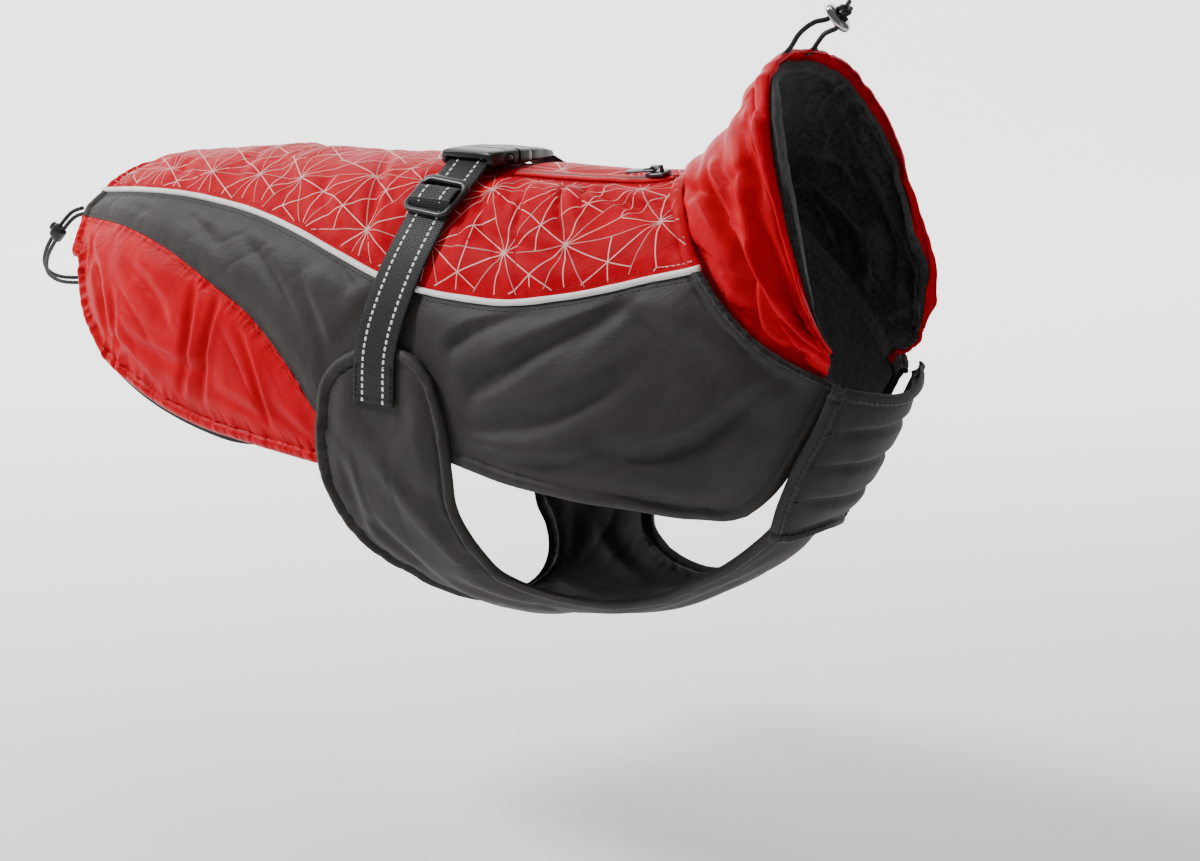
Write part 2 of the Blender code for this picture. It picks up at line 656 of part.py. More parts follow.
def make_piping(side, group):
    name = "piping_right" if side > 0 else "piping_left"
    line = dense(PIPING, 32) * (1, side)
    rope = body.place(line[:, 0], line[:, 1], np.full(len(line), SHELL_LIFT + PIPING_RADIUS))
    tube_along(name, rope, PIPING_RADIUS, "reflective", group)


def make_belly(group):
    """The padded strap: a band with two wings, welded to the narrow chest strap."""
    front_count, join_count = 8, 9
    steps = np.linspace(0, 1, front_count)
    wing = path_through(WING_FRONT, steps)
    join = path_through(across(BELLY_JOIN), np.linspace(0, 1, join_count))
    far_wing = np.array([(along, 360 - angle) for along, angle in wing[::-1]])
    front = np.concatenate([wing, join[1:-1], far_wing])
    rear_rows = across(WING_REAR)
    share = np.linspace(0, 1, len(front))
    rear = path_through(rear_rows, share)
    lead = np.array(EDGE_STEPS) / WING_SPAN
    between = np.concatenate([lead, np.linspace(lead[-1], 1 - lead[-1], 5)[1:-1],
                              1 - lead[::-1]])
    top = path_through(WING_TOP, between)
    far_top = np.array([(along, 360 - angle) for along, angle in top])
    band = rear[None] * (1 - between[:, None, None]) + front[None] * between[:, None, None]
    pull_top = top - band[:, 0]
    pull_far = far_top - band[:, -1]
    fade = np.clip(1 - np.arange(len(front)) / 4.0, 0, 1)[None, :, None]
    band = band + pull_top[:, None] * fade + pull_far[:, None] * fade[:, ::-1]
    sides = (CHEST_SIDE, tuple((along, 360 - angle) for along, angle in CHEST_SIDE))
    s, t = np.meshgrid(np.linspace(0, 1, 10), np.linspace(0, 1, join_count), indexing="ij")
    strap = coons(across(BELLY_JOIN), across(CHEST_TOP), sides[0], sides[1], s, t)
    strap[0] = join
    outline = [line_on(body, rows) for rows in
               (WING_TOP, WING_REAR, WING_FRONT, CHEST_SIDE, CHEST_TOP)]
    outline = outline + [line * (1, -1, 1) for line in outline]
    under_band = line_on(body, ((162, 160), (163, 170), (163, 180), (163, 190), (162, 200)))
    webbing_ends = ((line_on(body, ((33, 70), (33, 90))), PRESS_WEBBING),
                    (line_on(body, ((33, -70), (33, -90))), PRESS_WEBBING))
    grids = []
    for places in (band, strap):
        points = body.point(places[..., 0], places[..., 1])
        turned = places.copy()
        turned[turned[..., 1] > 180, 1] -= 360
        stand = relief(points, turned, outline, (), BELLY_FOLDS,
                       pressed=webbing_ends + ((under_band, 32.0),))
        grids.append(body.place(places[..., 0], places[..., 1], BELLY_LIFT + stand))
    sheet("belly_panel", grids, away_from_axis, STRAP_WALL, "softshell", group)


def make_band(group):
    """Hook-and-loop band across the front of the neckline, over the side panels' front edges."""
    right = BAND_SIDE
    left = tuple((along, 360 - angle) for along, angle in BAND_SIDE)
    upper = across((BAND_SIDE[0], (182, 160), (182, 180)))
    lower = across(BAND_LOW)
    edges = (right, left, upper, lower)
    hems = tuple(line_on(body, rows) for rows in edges)
    rows_of_stitches = tuple(
        line_on(body, across(((along, angle), (along + 3, 162), (along + 4, 180))))
        for along, angle in ((171, 147), (164, 148), (157, 151)))
    places = grid_on(body, edges, 9, 3)
    points = body.point(places[..., 0], places[..., 1])
    stand = relief(points, places, hems, rows_of_stitches, (), BAND_PUFF)
    grid = body.place(places[..., 0], places[..., 1], BAND_LIFT + stand)
    sheet("chest_band", [grid], away_from_axis, STRAP_WALL, "hook_band", group)


def collar_points(rows, lift, fleece=False):
    """A grid on the collar, with its folds and the gathers of its tunnel."""
    rows = np.array(rows, float)
    turn = np.linspace(-1, 1, COLLAR_COLUMNS)
    rise, turn = np.meshgrid(rows, turn, indexing="ij")
    half = BASE_HALF_ANGLE + (RIM_HALF_ANGLE - BASE_HALF_ANGLE) * rise / COLLAR_RIM
    angle = turn * half
    if fleece:
        lift = lift - BASE_SLACK * (1 - smooth_step(rise, 10, 26))
        reach = np.array(FLEECE_REACH, float)
        edge = np.interp(angle, reach[:, 0], reach[:, 1]) + COLLAR_RIM
        last = FLEECE_FROM
        rise = np.where(rise < last, rise, last + (rise - last) * (edge - last) / (rows[-1] - last))
    fade = np.sin(np.clip(rise / COLLAR_RIM, 0, 1) * math.pi)
    places = np.stack([rise, angle], -1)
    stand = -crease_depth(places, COLLAR_FOLDS, angle < 0, NECK_DEGREE) * fade
    wave = np.where(np.arange(COLLAR_COLUMNS) % 2, 0.5, -0.5) * GATHER_DEPTH
    wave = wave * (1 - smooth_step(np.abs(angle), *GATHER_END))
    stand = stand + wave * smooth_step(rise, COLLAR_RIM - GATHER_REACH, COLLAR_RIM)
    return neck.place(rise, angle, lift + stand)


def make_collar(group):
    outer = collar_points(COLLAR_ROWS, 0.0)
    inner = collar_points(COLLAR_ROWS, -FLEECE_WALL - 2 * GAP, True)
    sheet("collar", [outer], away_from_neck, SHELL_WALL, "red_satin", group)
    sheet("collar_lining", [inner], away_from_neck, FLEECE_WALL, "fleece", group)


# ---------------------------------------------------------------- belt

WEBBING_ON_WING = BELLY_TOP + HEM_ROLL + GAP
WEBBING_ON_SHELL = SHELL_LIFT + 2 * PIPING_RADIUS + GAP


def make_webbing(side, group):
    """Flat webbing from the wing up to its half of the buckle."""
    name = "webbing_right" if side > 0 else "webbing_left"
    rows = np.array(WEBBING_PATH, float)
    angle = rows[:, 1] * side
    lift = np.where(rows[:, 2] > 0, WEBBING_ON_WING, WEBBING_ON_SHELL)
    half_buckle = (FEMALE_LENGTH + GAP + MALE_LENGTH) / 2
    end = (BUCKLE_X, BUCKLE_Y - side * (half_buckle + SEAM_GAP), BUCKLE_FOOT + WEBBING_ENTRY)
    centre = np.vstack([body.place(rows[:, 0], angle, lift), [end]])
    out = np.vstack([body.normal(rows[:, 0], angle), [(0, -0.15 * side, 1)]])
    share = np.linspace(0, 1, 22)
    both = path_through(np.hstack([centre, out]), share)
    centre, out = both[:, :3], both[:, 3:]
    square = np.cross(np.gradient(centre, axis=0), out)
    square = square / np.linalg.norm(square, axis=1, keepdims=True) * WEBBING_WIDTH / 2
    grid = np.stack([centre - square, centre, centre + square])
    sheet(name, [grid], away_from_axis, WEBBING_WALL, "webbing", group)


def make_slider(group, helpers):
    """Flat three-bar adjuster that the webbing is threaded through."""
    width, length, height = SLIDER_SIZE
    lift = WEBBING_ON_SHELL + WEBBING_WALL + GAP + height / 2
    frame = surface_frame(*SLIDER_AT, lift, SLIDER_HEADING)
    thing = add_object("strap_slider", box_mesh("strap_slider", SLIDER_SIZE, 1.1), "plastic",
                       group)
    thing.matrix_world = frame
    slot = (length - 3 * SLIDER_BAR) / 2
    for end in (-1, 1):
        cutter = box_mesh("slider_slot", (width - 2 * SLIDER_BAR, slot, height * 2))
        place = frame @ offset(0, end * (slot + SLIDER_BAR) / 2, 0)
        combine(thing, helper(cutter, place, helpers), "DIFFERENCE")


def make_buckle(group, helpers):
    """Side-release buckle across the back, its two halves clicked together."""
    middle = BUCKLE_FOOT + BUCKLE_HEIGHT / 2
    whole = FEMALE_LENGTH + GAP + MALE_LENGTH
    near = BUCKLE_Y - whole / 2
    female_y = near + FEMALE_LENGTH / 2
    male_y = near + FEMALE_LENGTH + GAP + MALE_LENGTH / 2
    female = add_object("buckle_female",
                        box_mesh("buckle_female", (BUCKLE_WIDTH, FEMALE_LENGTH, BUCKLE_HEIGHT),
                                 2.4), "plastic", group)
    female.matrix_world = offset(BUCKLE_X, female_y, middle)
    male = add_object("buckle_male",
                      box_mesh("buckle_male", (BUCKLE_WIDTH - 4, MALE_LENGTH,
                                               BUCKLE_HEIGHT - 2), 1.8), "plastic", group)
    male.matrix_world = offset(BUCKLE_X, male_y, middle)
    bar_slot = (WEBBING_WIDTH + 0.8, BAR_SLOT, BUCKLE_HEIGHT * 2)
    for thing, y in ((female, near + BAR_INSET), (male, near + whole - BAR_INSET)):
        cutter = helper(box_mesh("bar_slot", bar_slot), offset(BUCKLE_X, y, middle), helpers)
        combine(thing, cutter, "DIFFERENCE")
    for end in (-1, 1):
        notch = box_mesh("side_window", SIDE_WINDOW, 1.2)
        place = offset(BUCKLE_X + end * BUCKLE_WIDTH / 2, female_y + 2.0, middle)
        combine(female, helper(notch, place, helpers), "DIFFERENCE")


# ---------------------------------------------------------------- lead opening

def make_zip(group, helpers):
    lift = SHELL_TOP + 3 * GAP
    half = math.degrees(ZIP_TAPE_WIDTH / 2 / 100.0)
    rear = ((ZIP_REAR, ZIP_ANGLE - half), (ZIP_REAR, ZIP_ANGLE + half))
    front = ((ZIP_FRONT, ZIP_ANGLE - half), (ZIP_FRONT, ZIP_ANGLE + half))
    edges = (rear, front, (rear[0], front[0]), (rear[1], front[1]))
    places = grid_on(body, edges, 12, 1, (False, False, False, False))
    grid = body.place(places[..., 0], places[..., 1], np.full(places.shape[:-1], lift))
    sheet("zip_tape", [grid], away_from_axis, ZIP_TAPE_WALL, "red_satin", group)

    base = lift + ZIP_TAPE_WALL + GAP
    frame = surface_frame(ZIP_BODY_AT, ZIP_ANGLE, base + ZIP_BODY[2] / 2, (0, 1, 0))
    slider = add_object("zip_slider", box_mesh("zip_slider", ZIP_BODY, 0.7), "gunmetal", group)
    slider.matrix_world = frame
    crown = helper(box_mesh("crown", ZIP_CROWN, 0.5),
                   frame @ offset(0, 0, (ZIP_BODY[2] + ZIP_CROWN[2]) / 2 - 0.5), helpers)
    combine(slider, crown, "UNION")
    tunnel_size = (ZIP_TUNNEL[0], ZIP_CROWN[1] * 3, ZIP_TUNNEL[1])
    tunnel_place = frame @ offset(0, 0, (ZIP_BODY[2] + ZIP_TUNNEL[1]) / 2)
    combine(slider, helper(box_mesh("tunnel", tunnel_size), tunnel_place, helpers), "DIFFERENCE")

    length, width, thick = ZIP_PULL
    hinge = frame @ offset(-0.9, 0, ZIP_BODY[2] / 2 + GAP + thick / 2)
    pull = add_object("zip_pull", box_mesh("zip_pull", ZIP_PULL, 0.45), "gunmetal", group)
    pull.data.transform(offset(thick / 2 - length / 2, 0, 0))
    pull.matrix_world = hinge
    window = box_mesh("pull_window", (ZIP_WINDOW[0], ZIP_WINDOW[1], thick * 3))
    window_place = hinge @ offset(-thick / 2 - ZIP_WINDOW[0] / 2, 0, 0)
    combine(pull, helper(window, window_place, helpers), "DIFFERENCE")


# ---------------------------------------------------------------- cords

def make_collar_cord(group, helpers):
    """Two ends of the drawcord through one stopper, tied off in a knot."""
    run = Vector(CORD_RUN).normalized()
    up = Vector((-run.z, 0, run.x))
    frame = Matrix((up, run.cross(up), run)).transposed().to_4x4()
    frame.translation = Vector(STOPPER_AT) * MM
    stopper = add_object("collar_stopper", box_mesh("collar_stopper", STOPPER_SIZE, 2.0, 3),
                         "gunmetal", group)
    stopper.matrix_world = frame
    lift = SHELL_WALL + 2 * GAP + CORD_RADIUS
    for name, eyelet, rows, aside in (
            ("collar_cord_right", EYELET_RIGHT, CORD_RIGHT, STOPPER_HOLES[0]),
            ("collar_cord_left", EYELET_LEFT, CORD_LEFT, STOPPER_HOLES[1])):
        hole = Vector(STOPPER_AT) + up * aside
        straight = tuple(tuple(hole + run * CORD_LEAD * step) for step in (-1, 0, 1))
        route = (neck.place(*eyelet, lift),) + rows + straight
        line = path_through(route, np.linspace(0, 1, 12))
        tube_along(name, line, CORD_RADIUS, "cord", group)
        bore = rod_mesh("cord_hole", CORD_RADIUS + HOLE_CLEARANCE, STOPPER_SIZE[2] * 3)
        combine(stopper, helper(bore, frame @ offset(aside, 0, 0), helpers), "DIFFERENCE")
    mesh = bpy.data.meshes.new("collar_knot")
    work = bmesh.new()
    bmesh.ops.create_uvsphere(work, u_segments=12, v_segments=8, radius=KNOT_RADIUS * MM)
    work.to_mesh(mesh)
    work.free()
    knot = add_object("collar_knot", mesh, "cord", group)
    knot.location = (Vector(STOPPER_AT) + run * (CORD_LEAD + KNOT_RADIUS)) * MM


def elastic_line(shift):
    half = np.array(ELASTIC, float)
    whole = np.concatenate([half, (half * (1, -1, 1))[-2::-1]])
    return path_through(whole, np.linspace(0, 1, 36)) + np.array(ELASTIC_SPREAD) * shift


def make_elastic(group, helpers):
    for name, end in (("rump_elastic_upper", 0.5), ("rump_elastic_lower", -0.5)):
        tube_along(name, elastic_line(end * ELASTIC_PITCH), ELASTIC_RADIUS, "cord", group)
    line = elastic_line(0.0)
    at = int(LOCK_AT * len(line))
    run = Vector(line[at + 1] - line[at - 1]).normalized()
    side = Vector(ELASTIC_SPREAD).cross(run).normalized()
    frame = Matrix((run, side, run.cross(side))).transposed().to_4x4()
    frame.translation = Vector(line[at]) * MM
    lock = add_object("elastic_lock", box_mesh("elastic_lock", LOCK_SIZE, 1.4), "plastic", group)
    lock.matrix_world = frame
    slot = box_mesh("elastic_hole", (LOCK_SIZE[0] * 2, 3.0, ELASTIC_PITCH + 3.0))
    combine(lock, helper(slot, frame, helpers), "DIFFERENCE")


def main():
    clear_scene()
    coat = new_collection("dog_coat")
    helpers = new_collection("helpers")
    make_lining(coat)
    make_back(coat)
    for side in (1, -1):
        make_side(side, coat)
        make_hip(side, coat)
        make_piping(side, coat)
    make_belly(coat)
    make_band(coat)
    make_collar(coat)
    for side in (1, -1):
        make_webbing(side, coat)
    make_slider(coat, helpers)
    make_buckle(coat, helpers)
    make_zip(coat, helpers)
    make_collar_cord(coat, helpers)
    make_elastic(coat, helpers)


main()
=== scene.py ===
"""The dog coat as it looks in the photograph, over the frame of its solids.

Sizes are in millimetres until a mesh is made. A place on the coat is (along, angle): the distance
along the back, and how far round from the top in degrees, positive down the right side.
"""
import math

import bmesh
import bpy
import numpy as np
from mathutils import Matrix, Vector


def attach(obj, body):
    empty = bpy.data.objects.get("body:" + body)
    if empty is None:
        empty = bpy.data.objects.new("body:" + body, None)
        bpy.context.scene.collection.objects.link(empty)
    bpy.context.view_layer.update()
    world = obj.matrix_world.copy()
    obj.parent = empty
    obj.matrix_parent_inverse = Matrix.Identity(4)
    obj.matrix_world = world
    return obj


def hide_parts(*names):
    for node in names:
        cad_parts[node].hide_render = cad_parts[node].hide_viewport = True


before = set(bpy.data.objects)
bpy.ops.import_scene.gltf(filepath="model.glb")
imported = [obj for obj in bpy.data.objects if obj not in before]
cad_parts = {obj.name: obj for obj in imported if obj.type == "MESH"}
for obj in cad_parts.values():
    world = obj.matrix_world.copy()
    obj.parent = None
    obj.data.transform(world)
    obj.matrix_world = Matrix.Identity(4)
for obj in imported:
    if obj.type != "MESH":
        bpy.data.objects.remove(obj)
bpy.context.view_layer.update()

MM = 0.001
BODY_DEGREE = 1.45          # mm of cloth for each degree round the body, on average
NECK_DEGREE = 0.95          # the same round the collar
HANDS = ((1, "right"), (-1, "left"))

# ---- cloth and trim thicknesses ----
GAP = 0.3                   # air between neighbouring pieces
LINING_WALL = 1.0
SHELL_WALL = 1.5            # outer cloth with its thin wadding
STRAP_WALL = 2.0            # padded belly panel and chest band
FLEECE_WALL = 1.2           # fleece inside the collar
WEBBING_WALL = 1.2
WEBBING_WIDTH = 25.0
PIPING_RADIUS = 1.7
CORD_RADIUS = 1.2
CORD_SHOWN = CORD_RADIUS - 0.05
ELASTIC_RADIUS = 1.1

# ---- how far each layer lies out from the wearer ----
LINING_LIFT = -1.0
SHELL_LIFT = LINING_WALL + GAP
SHELL_TOP = SHELL_LIFT + SHELL_WALL
BELLY_LIFT = SHELL_TOP + 1.0
BELLY_TOP = BELLY_LIFT + STRAP_WALL
BAND_LIFT = BELLY_TOP + 2.7
WEBBING_ON_WING = BELLY_TOP + 1.0
WEBBING_ON_SHELL = SHELL_LIFT + 2 * PIPING_RADIUS + GAP

# ---- the worn form: one ring for each row ----
# along, top x, top z, low x, low z, half width, widest (share of the way down), squareness, bow
BODY = (
    (-222, -222, -18, -218, -183, 57, 0.50, 2.2, 0),
    (-150, -150, -5, -146, -194, 74, 0.50, 2.3, 0),
    (-80, -80, -1, -72, -201, 79, 0.50, 2.3, 0),
    (0, 0, 1, 16, -206, 80, 0.50, 2.3, 0),
    (70, 70, 1, 103, -203, 77, 0.50, 2.3, 0),
    (120, 120, 1, 174, -185, 72, 0.50, 2.2, 0),
    (150, 150, 2, 224, -149, 62, 0.49, 2.1, -2),
    (178, 178, 7, 263, -86, 51, 0.48, 2.0, -4),
    (184, 184, 8, 270, -73, 49, 0.48, 2.0, -4),
)
# The collar's rings: `along` is the rise of the cloth up the centre back from its sewn edge.
COLLAR = (
    (0, 161, 0, 266, -85, 49, 0.48, 2.0, -3),
    (10, 167.5, 8, 268, -82, 51, 0.48, 2.0, -1),
    (22, 173.5, 16.5, 269, -80, 53, 0.48, 2.1, 0),
    (40, 187, 27, 268, -79, 54, 0.49, 2.2, 2),
    (56, 198.5, 38, 267, -78, 54, 0.50, 2.3, 3),
    (70, 207, 51, 266, -76, 53, 0.50, 2.4, 4),
    (80, 214, 58, 265, -75, 53, 0.51, 2.45, 5),
    (88, 222, 63, 264, -74, 52, 0.51, 2.5, 5),
    (102, 234, 70, 263, -72, 51, 0.51, 2.5, 5),
)
COLLAR_RIM = 88.0
SEW_DEPTH = 5.0             # how far the collar's sewn edge reaches under the neckline
SEW_INSET = 2.8             # how far under the body's surface it lies there
BASE_SLACK = 0.9            # extra room for the fleece where the collar turns upwards
SEW_CLEAR = 1.6             # how far in front of the neckline it comes out
FREE_RISE = 20.0            # where the collar has taken its own form
BASE_HALF_ANGLE = 143.0     # half the collar's way round, at the neckline and at the rim
RIM_HALF_ANGLE = 137.0
FLEECE_FROM = 56.0          # above this rise the fleece's rows spread out to its own edge
# angle, how far the fleece stands past the rim
FLEECE_REACH = ((-137, 0), (-100, -5), (-30, -5), (10, -5), (30, -1), (48, 5), (80, 8), (137, 8))

# ---- outlines of the pieces, (along, angle) on the right side ----
NECK_EDGE = ((164.5, 0), (168, 15), (172.3, 30), (175.6, 45), (177, 76), (178, 110),
             (180, 143), (180, 150))
# the fleece's front edge, just behind the collar's sewn edge
LINING_NECK = ((177.5, 148.5), (176.4, 130), (175, 110), (173.7, 76), (171.5, 45), (168, 30),
               (163.8, 15), (160.2, 0))
TAIL_HEM = ((-203, 0), (-205, 15))
TAIL_CORNER = (-217, 38)
PIPING = ((-208, 31), (-155, 36), (-111, 38.5), (-69, 42.5), (-28, 49), (2, 55), (29, 60),
          (59, 63), (90, 64), (123, 63), (156, 65), (177, 74))
HIP_SEAM = ((-214, 45), (-156, 53), (-117, 60), (-83, 68), (-51, 76), (-31, 84), (-12, 93),
            (2, 100))
HIP_HEM = ((-214, 45), (-209, 56), (-204, 64), (-198, 76), (-191, 84), (-175, 92),
           (-147, 98), (-117, 103), (-81, 106), (-45, 105), (2, 101.5))
SIDE_HEM = ((2, 100), (61, 101), (80, 105), (108, 111), (126, 120), (141, 135), (151, 148))
SIDE_FRONT = ((151, 148), (158, 151), (168, 151), (180, 150))
WING_SPAN = 68.0            # width of the belly panel's wings
WING_TOP = ((4, 84), (13, 81), (23, 79), (34, 78), (43, 78), (53, 80), (60, 84))
WING_REAR = ((4, 84), (-3, 88), (-8, 96), (-11, 106), (-9, 117), (-3, 130), (3, 137), (13, 144),
             (26, 160), (30, 180))
WING_FRONT = ((60, 84), (64, 92), (63, 104), (61, 112), (64, 126), (68, 137), (80, 146))
BELLY_JOIN = ((80, 146), (88, 158), (90, 180))
CHEST_SIDE = ((80, 146), (94, 152), (106, 156), (118, 158), (132, 158.5), (146, 158), (160, 159))
CHEST_TOP = ((160, 159), (165, 170), (166, 180))
BAND_SIDE = ((181, 143), (172, 146), (164, 147), (157, 150), (149, 157))
BAND_TOP = ((181, 143), (182, 160), (182, 180))
BAND_LOW = ((149, 157), (150, 164), (152, 172), (153, 180))
BAND_GROOVES = ((171, 147), (164, 148), (157, 151))

# ---- belt ----
# along, angle, and whether it lies on the wing (1) or on the shell (0)
WEBBING_PATH = ((29, 90, 1), (32, 79, 1), (40, 61, 0), (46, 46, 0), (48, 34, 0), (49, 27, 0))
SLIDER_AT = (48, 33)
SLIDER_SIZE = (31.0, 24.0, 3.0)
SLIDER_BAR = 3.1
SLIDER_RAIL = 1.75          # half the rail's width
SLIDER_CORNER = 4.6
SLIDER_HEADING = (0.1, 1.0, 0.6)
BUCKLE_X = 50.0
BUCKLE_Y = -4.0
BUCKLE_WIDTH = 33.0
BUCKLE_HEIGHT = 8.0
FEMALE_LENGTH = 31.0
MALE_LENGTH = 20.0
BUCKLE_FOOT = 4.9           # height of the buckle's underside over the origin
WEBBING_ENTRY = 3.4         # height of the webbing's end over the buckle's underside
TICK_PITCH = 3.2
TICK_LENGTH = 2.1
TICK_ASIDE = 6.4
TACK = (2.5, 18, 10.8)      # the sewn box at the webbing's end: from, to and half its width

# ---- lead opening ----
ZIP_ANGLE = 10.5
ZIP_REAR = 71.0
ZIP_FRONT = 161.0
ZIP_TAPE_WIDTH = 9.0
ZIP_TAPE_WALL = 0.8
ZIP_BODY = (11.0, 7.0, 2.2)
ZIP_BODY_AT = 152.0
ZIP_CROWN = (7.0, 2.2, 3.6)
ZIP_TUNNEL = (4.2, 2.2)
ZIP_PULL = (17.0, 5.6, 1.3)
ZIP_WINDOW = (6.0, 3.2)
ZIP_CLEAR = 5.6             # the print stops this far beside the zip
WELT_ASIDE = 2.75
WELT_WIDTH = 3.8
WELT_EDGE = WELT_ASIDE + WELT_WIDTH / 2 + 0.9

# ---- collar drawcord: points from its eyelets to the stopper ----
EYELET_RIGHT = (85, 13)     # rise and angle on the collar
EYELET_LEFT = (86, -6)
CORD_RIGHT = ((221, -12, 65), (224.5, -9, 72), (229, -4.5, 76.6))
CORD_LEFT = ((225.8, 4.6, 68.5), (229.6, 2.5, 71.3), (233.5, 1, 72.8))
CORD_RUN = (0.75, 0.0, 0.66)            # the way the cords leave through the stopper
CORD_LEAD = 3.4             # straight stretch on either side of the hole's middle
STOPPER_AT = (238.0, 0.0, 78.5)
STOPPER_SIZE = (15.0, 9.0, 5.0)
STOPPER_HOLE = 2.8          # how far each cord's hole is from the stopper's middle
KNOT_RADIUS = 4.0

# ---- rump elastic: right half, from the tail corner to behind the rump ----
ELASTIC = ((-216, -43, -35), (-222.5, -44.2, -37.2), (-231, -47, -45.5), (-240.5, -47, -55),
           (-250.5, -43, -63.5), (-260, -35, -73), (-265, -24, -79), (-268, -12, -82),
           (-269, 0, -83))
ELASTIC_PITCH = 3.2
ELASTIC_SPREAD = (-0.5, 0.0, 0.87)      # direction from the lower cord to the upper one
LOCK_AT = 0.12              # share of the elastic's length from the right corner
LOCK_SIZE = (9.0, 5.0, 8.0)

# ---- relief of the padded cloth ----
HEM_WIDTH = 6.0             # from the edge to the line of stitches
PUFF = 2.1                  # how far the wadding stands out between seams
PUFF_REACH = 7.0
EDGE_STEPS = (0.0, 0.8, 1.8, 3.0, 4.2, 5.2, HEM_WIDTH, 6.8, 8.0, 10.0, 12.5)
PRESS_WEBBING = 12.0        # the wadding is flat this far from the belt's middle
PUCKER_OUT = 4.2            # how far small gathers reach towards the edge, and into the piece
PUCKER_IN = 4.6
STITCH_SINK = 0.75          # how far the stitches pull the cloth down
STITCH_REACH = 0.85
SEAM_ASIDE = 2.6            # from the piping's seam to its stitches
RIDGE_SHARE = 0.35          # height of the ridge beside a fold, as a share of its depth
LOWEST = -0.9               # the shell's inner face stays this near to its lining
TUCK = 0.5                  # how far a panel's edge reaches under the piping
HIP_TOUCH = 0.15            # gap at the hip's seam
SHELL_SHOWN = 2.5           # wall of the shell down to its lining, as it shows at an edge
HIP_PEEK = 1.8              # degrees of lining that show under the hip's hem
TUNNEL_FROM = 80.0          # rise of the collar's tunnel stitches
TUNNEL_PUFF = 2.1
GATHER_DEPTH = 1.1
GATHER_PITCH = 5.5
GATHER_REACH = 12.0
GATHER_END = (95.0, 128.0)
COLLAR_FOLD_END = (84.0, 95.0)
LEFT_SHIFT = 5.0            # the left side's folds are alike but not the same
LEFT_DEPTH = 0.85

# ---- folds: along, angle, heading, length, width, depth, bend ----
BACK_FOLDS = (
    (4, 28, 63, 66, 3.4, 2.9, 3), (67, 40, 108, 36, 3.2, 2.6, -2),
    (140, 27, 30, 62, 3.2, 2.7, 2), (159, 40, 52, 38, 3.0, 2.5, 0),
    (-190, 14, 76, 44, 4.2, 1.8, 3), (-150, 22, 20, 60, 4.6, 1.9, 3),
    (-60, 26, 35, 64, 5.1, 1.5, -3), (-102, 13, 66, 50, 5.1, 1.35, 2),
    (104, 47, 14, 64, 4.2, 1.65, 2), (22, 52, 30, 34, 3.1, 1.35, 0),
    (-20, 38, 50, 40, 3.8, 1.5, -2), (-128, 32, 40, 40, 4.2, 1.2, 0),
    (84, 24, 75, 34, 3.6, 1.35, 2), (118, 36, 60, 30, 3.4, 1.35, -1),
)
SIDE_FOLDS = (
    (102, 79, -19, 88, 3.5, 3.9, 2), (100, 92, -3, 88, 3.5, 3.7, -2),
    (86, 85, -26, 42, 2.5, 2.6, 1), (98, 101, 3, 62, 3.0, 2.6, 0), (0, 57, 31, 34, 2.7, 1.9, 1),
    (160, 88, 68, 54, 3.8, 2.4, 2), (84, 72, -24, 46, 2.6, 2.6, 2),
    (150, 114, 34, 54, 3.6, 2.6, -2), (-40, 63, 36, 52, 3.9, 1.54, 2),
    (132, 108, 18, 60, 4.2, 1.68, 2), (138, 131, 62, 36, 3.4, 1.68, 0),
    (136, 74, -30, 46, 4.2, 1.68, -2), (-100, 50, 24, 50, 3.7, 1.26, 1),
    (-160, 44, 14, 50, 3.4, 1.12, 0), (-8, 74, 52, 40, 3.4, 1.68, 1),
    (166, 128, 80, 30, 3.8, 1.4, 0),
)
HIP_FOLDS = (
    (-96, 83, 104, 46, 3.0, 3.3, 3), (-80, 80, 112, 46, 2.6, 3.1, -2),
    (-48, 90, 60, 40, 2.4, 2.5, 2), (-112, 90, 4, 56, 2.0, 2.2, -2),
    (-172, 74, 58, 44, 3.2, 2.5, 3), (-142, 92, 22, 42, 2.2, 2.1, 1),
    (-188, 62, 82, 30, 3.2, 1.28, 0), (-22, 99, 22, 28, 2.4, 1.44, 0),
    (-128, 72, 30, 40, 3.4, 1.6, 2), (-60, 96, 10, 30, 2.4, 1.44, 0),
    (-156, 84, 80, 26, 2.7, 1.44, 0),
)
BELLY_FOLDS = (
    (6, 115, 90, 34, 4.2, 2.55, 2), (42, 115, 56, 56, 5.1, -1.65, 3),
    (30, 142, 70, 52, 5.1, 1.95, 2), (18, 166, 84, 44, 5.1, 1.95, 0),
    (60, 152, 40, 50, 4.2, 1.8, -2), (112, 170, 6, 62, 5.1, 1.65, 2),
    (56, 120, 80, 36, 3.4, 1.65, 0), (52, 172, 20, 40, 4.2, 1.5, 0),
    (140, 166, 30, 40, 4.2, 1.5, 1), (20, 128, 60, 30, 3.8, 1.5, 0),
)
COLLAR_FOLDS = (
    (40, 71, 80, 42, 5.1, 6.21, -2), (27, 99, 150, 44, 4.8, 5.94, 3),
    (57, 90, 112, 54, 6, -3.78, 2), (80, 86, 90, 12, 2.5, 2.7, 0),
    (50, 92, 90, 10, 2.5, 2.16, 0), (38, 112, 125, 44, 6.8, 4.32, 2),
    (48, 55, 65, 26, 5.1, -2.43, 0), (84, 106, 105, 42, 4.2, -2.03, 2),
    (24, 126, 2, 44, 3.4, 2.56, 2), (8, 138, 10, 18, 2.5, 1.49, 0),
    (72, 64, 90, 32, 5.1, 3.51, -2), (58, 108, 90, 36, 4.2, -2.7, 0),
    (30, 22, 78, 44, 5.1, 4.32, 3), (56, 9, 96, 54, 5.1, 2.97, 3),
    (20, 40, 58, 32, 4.2, 2.97, -2), (66, 34, 70, 34, 4.2, 2.43, 2),
    (70, 122, 40, 30, 3.4, 2.16, 0),
)

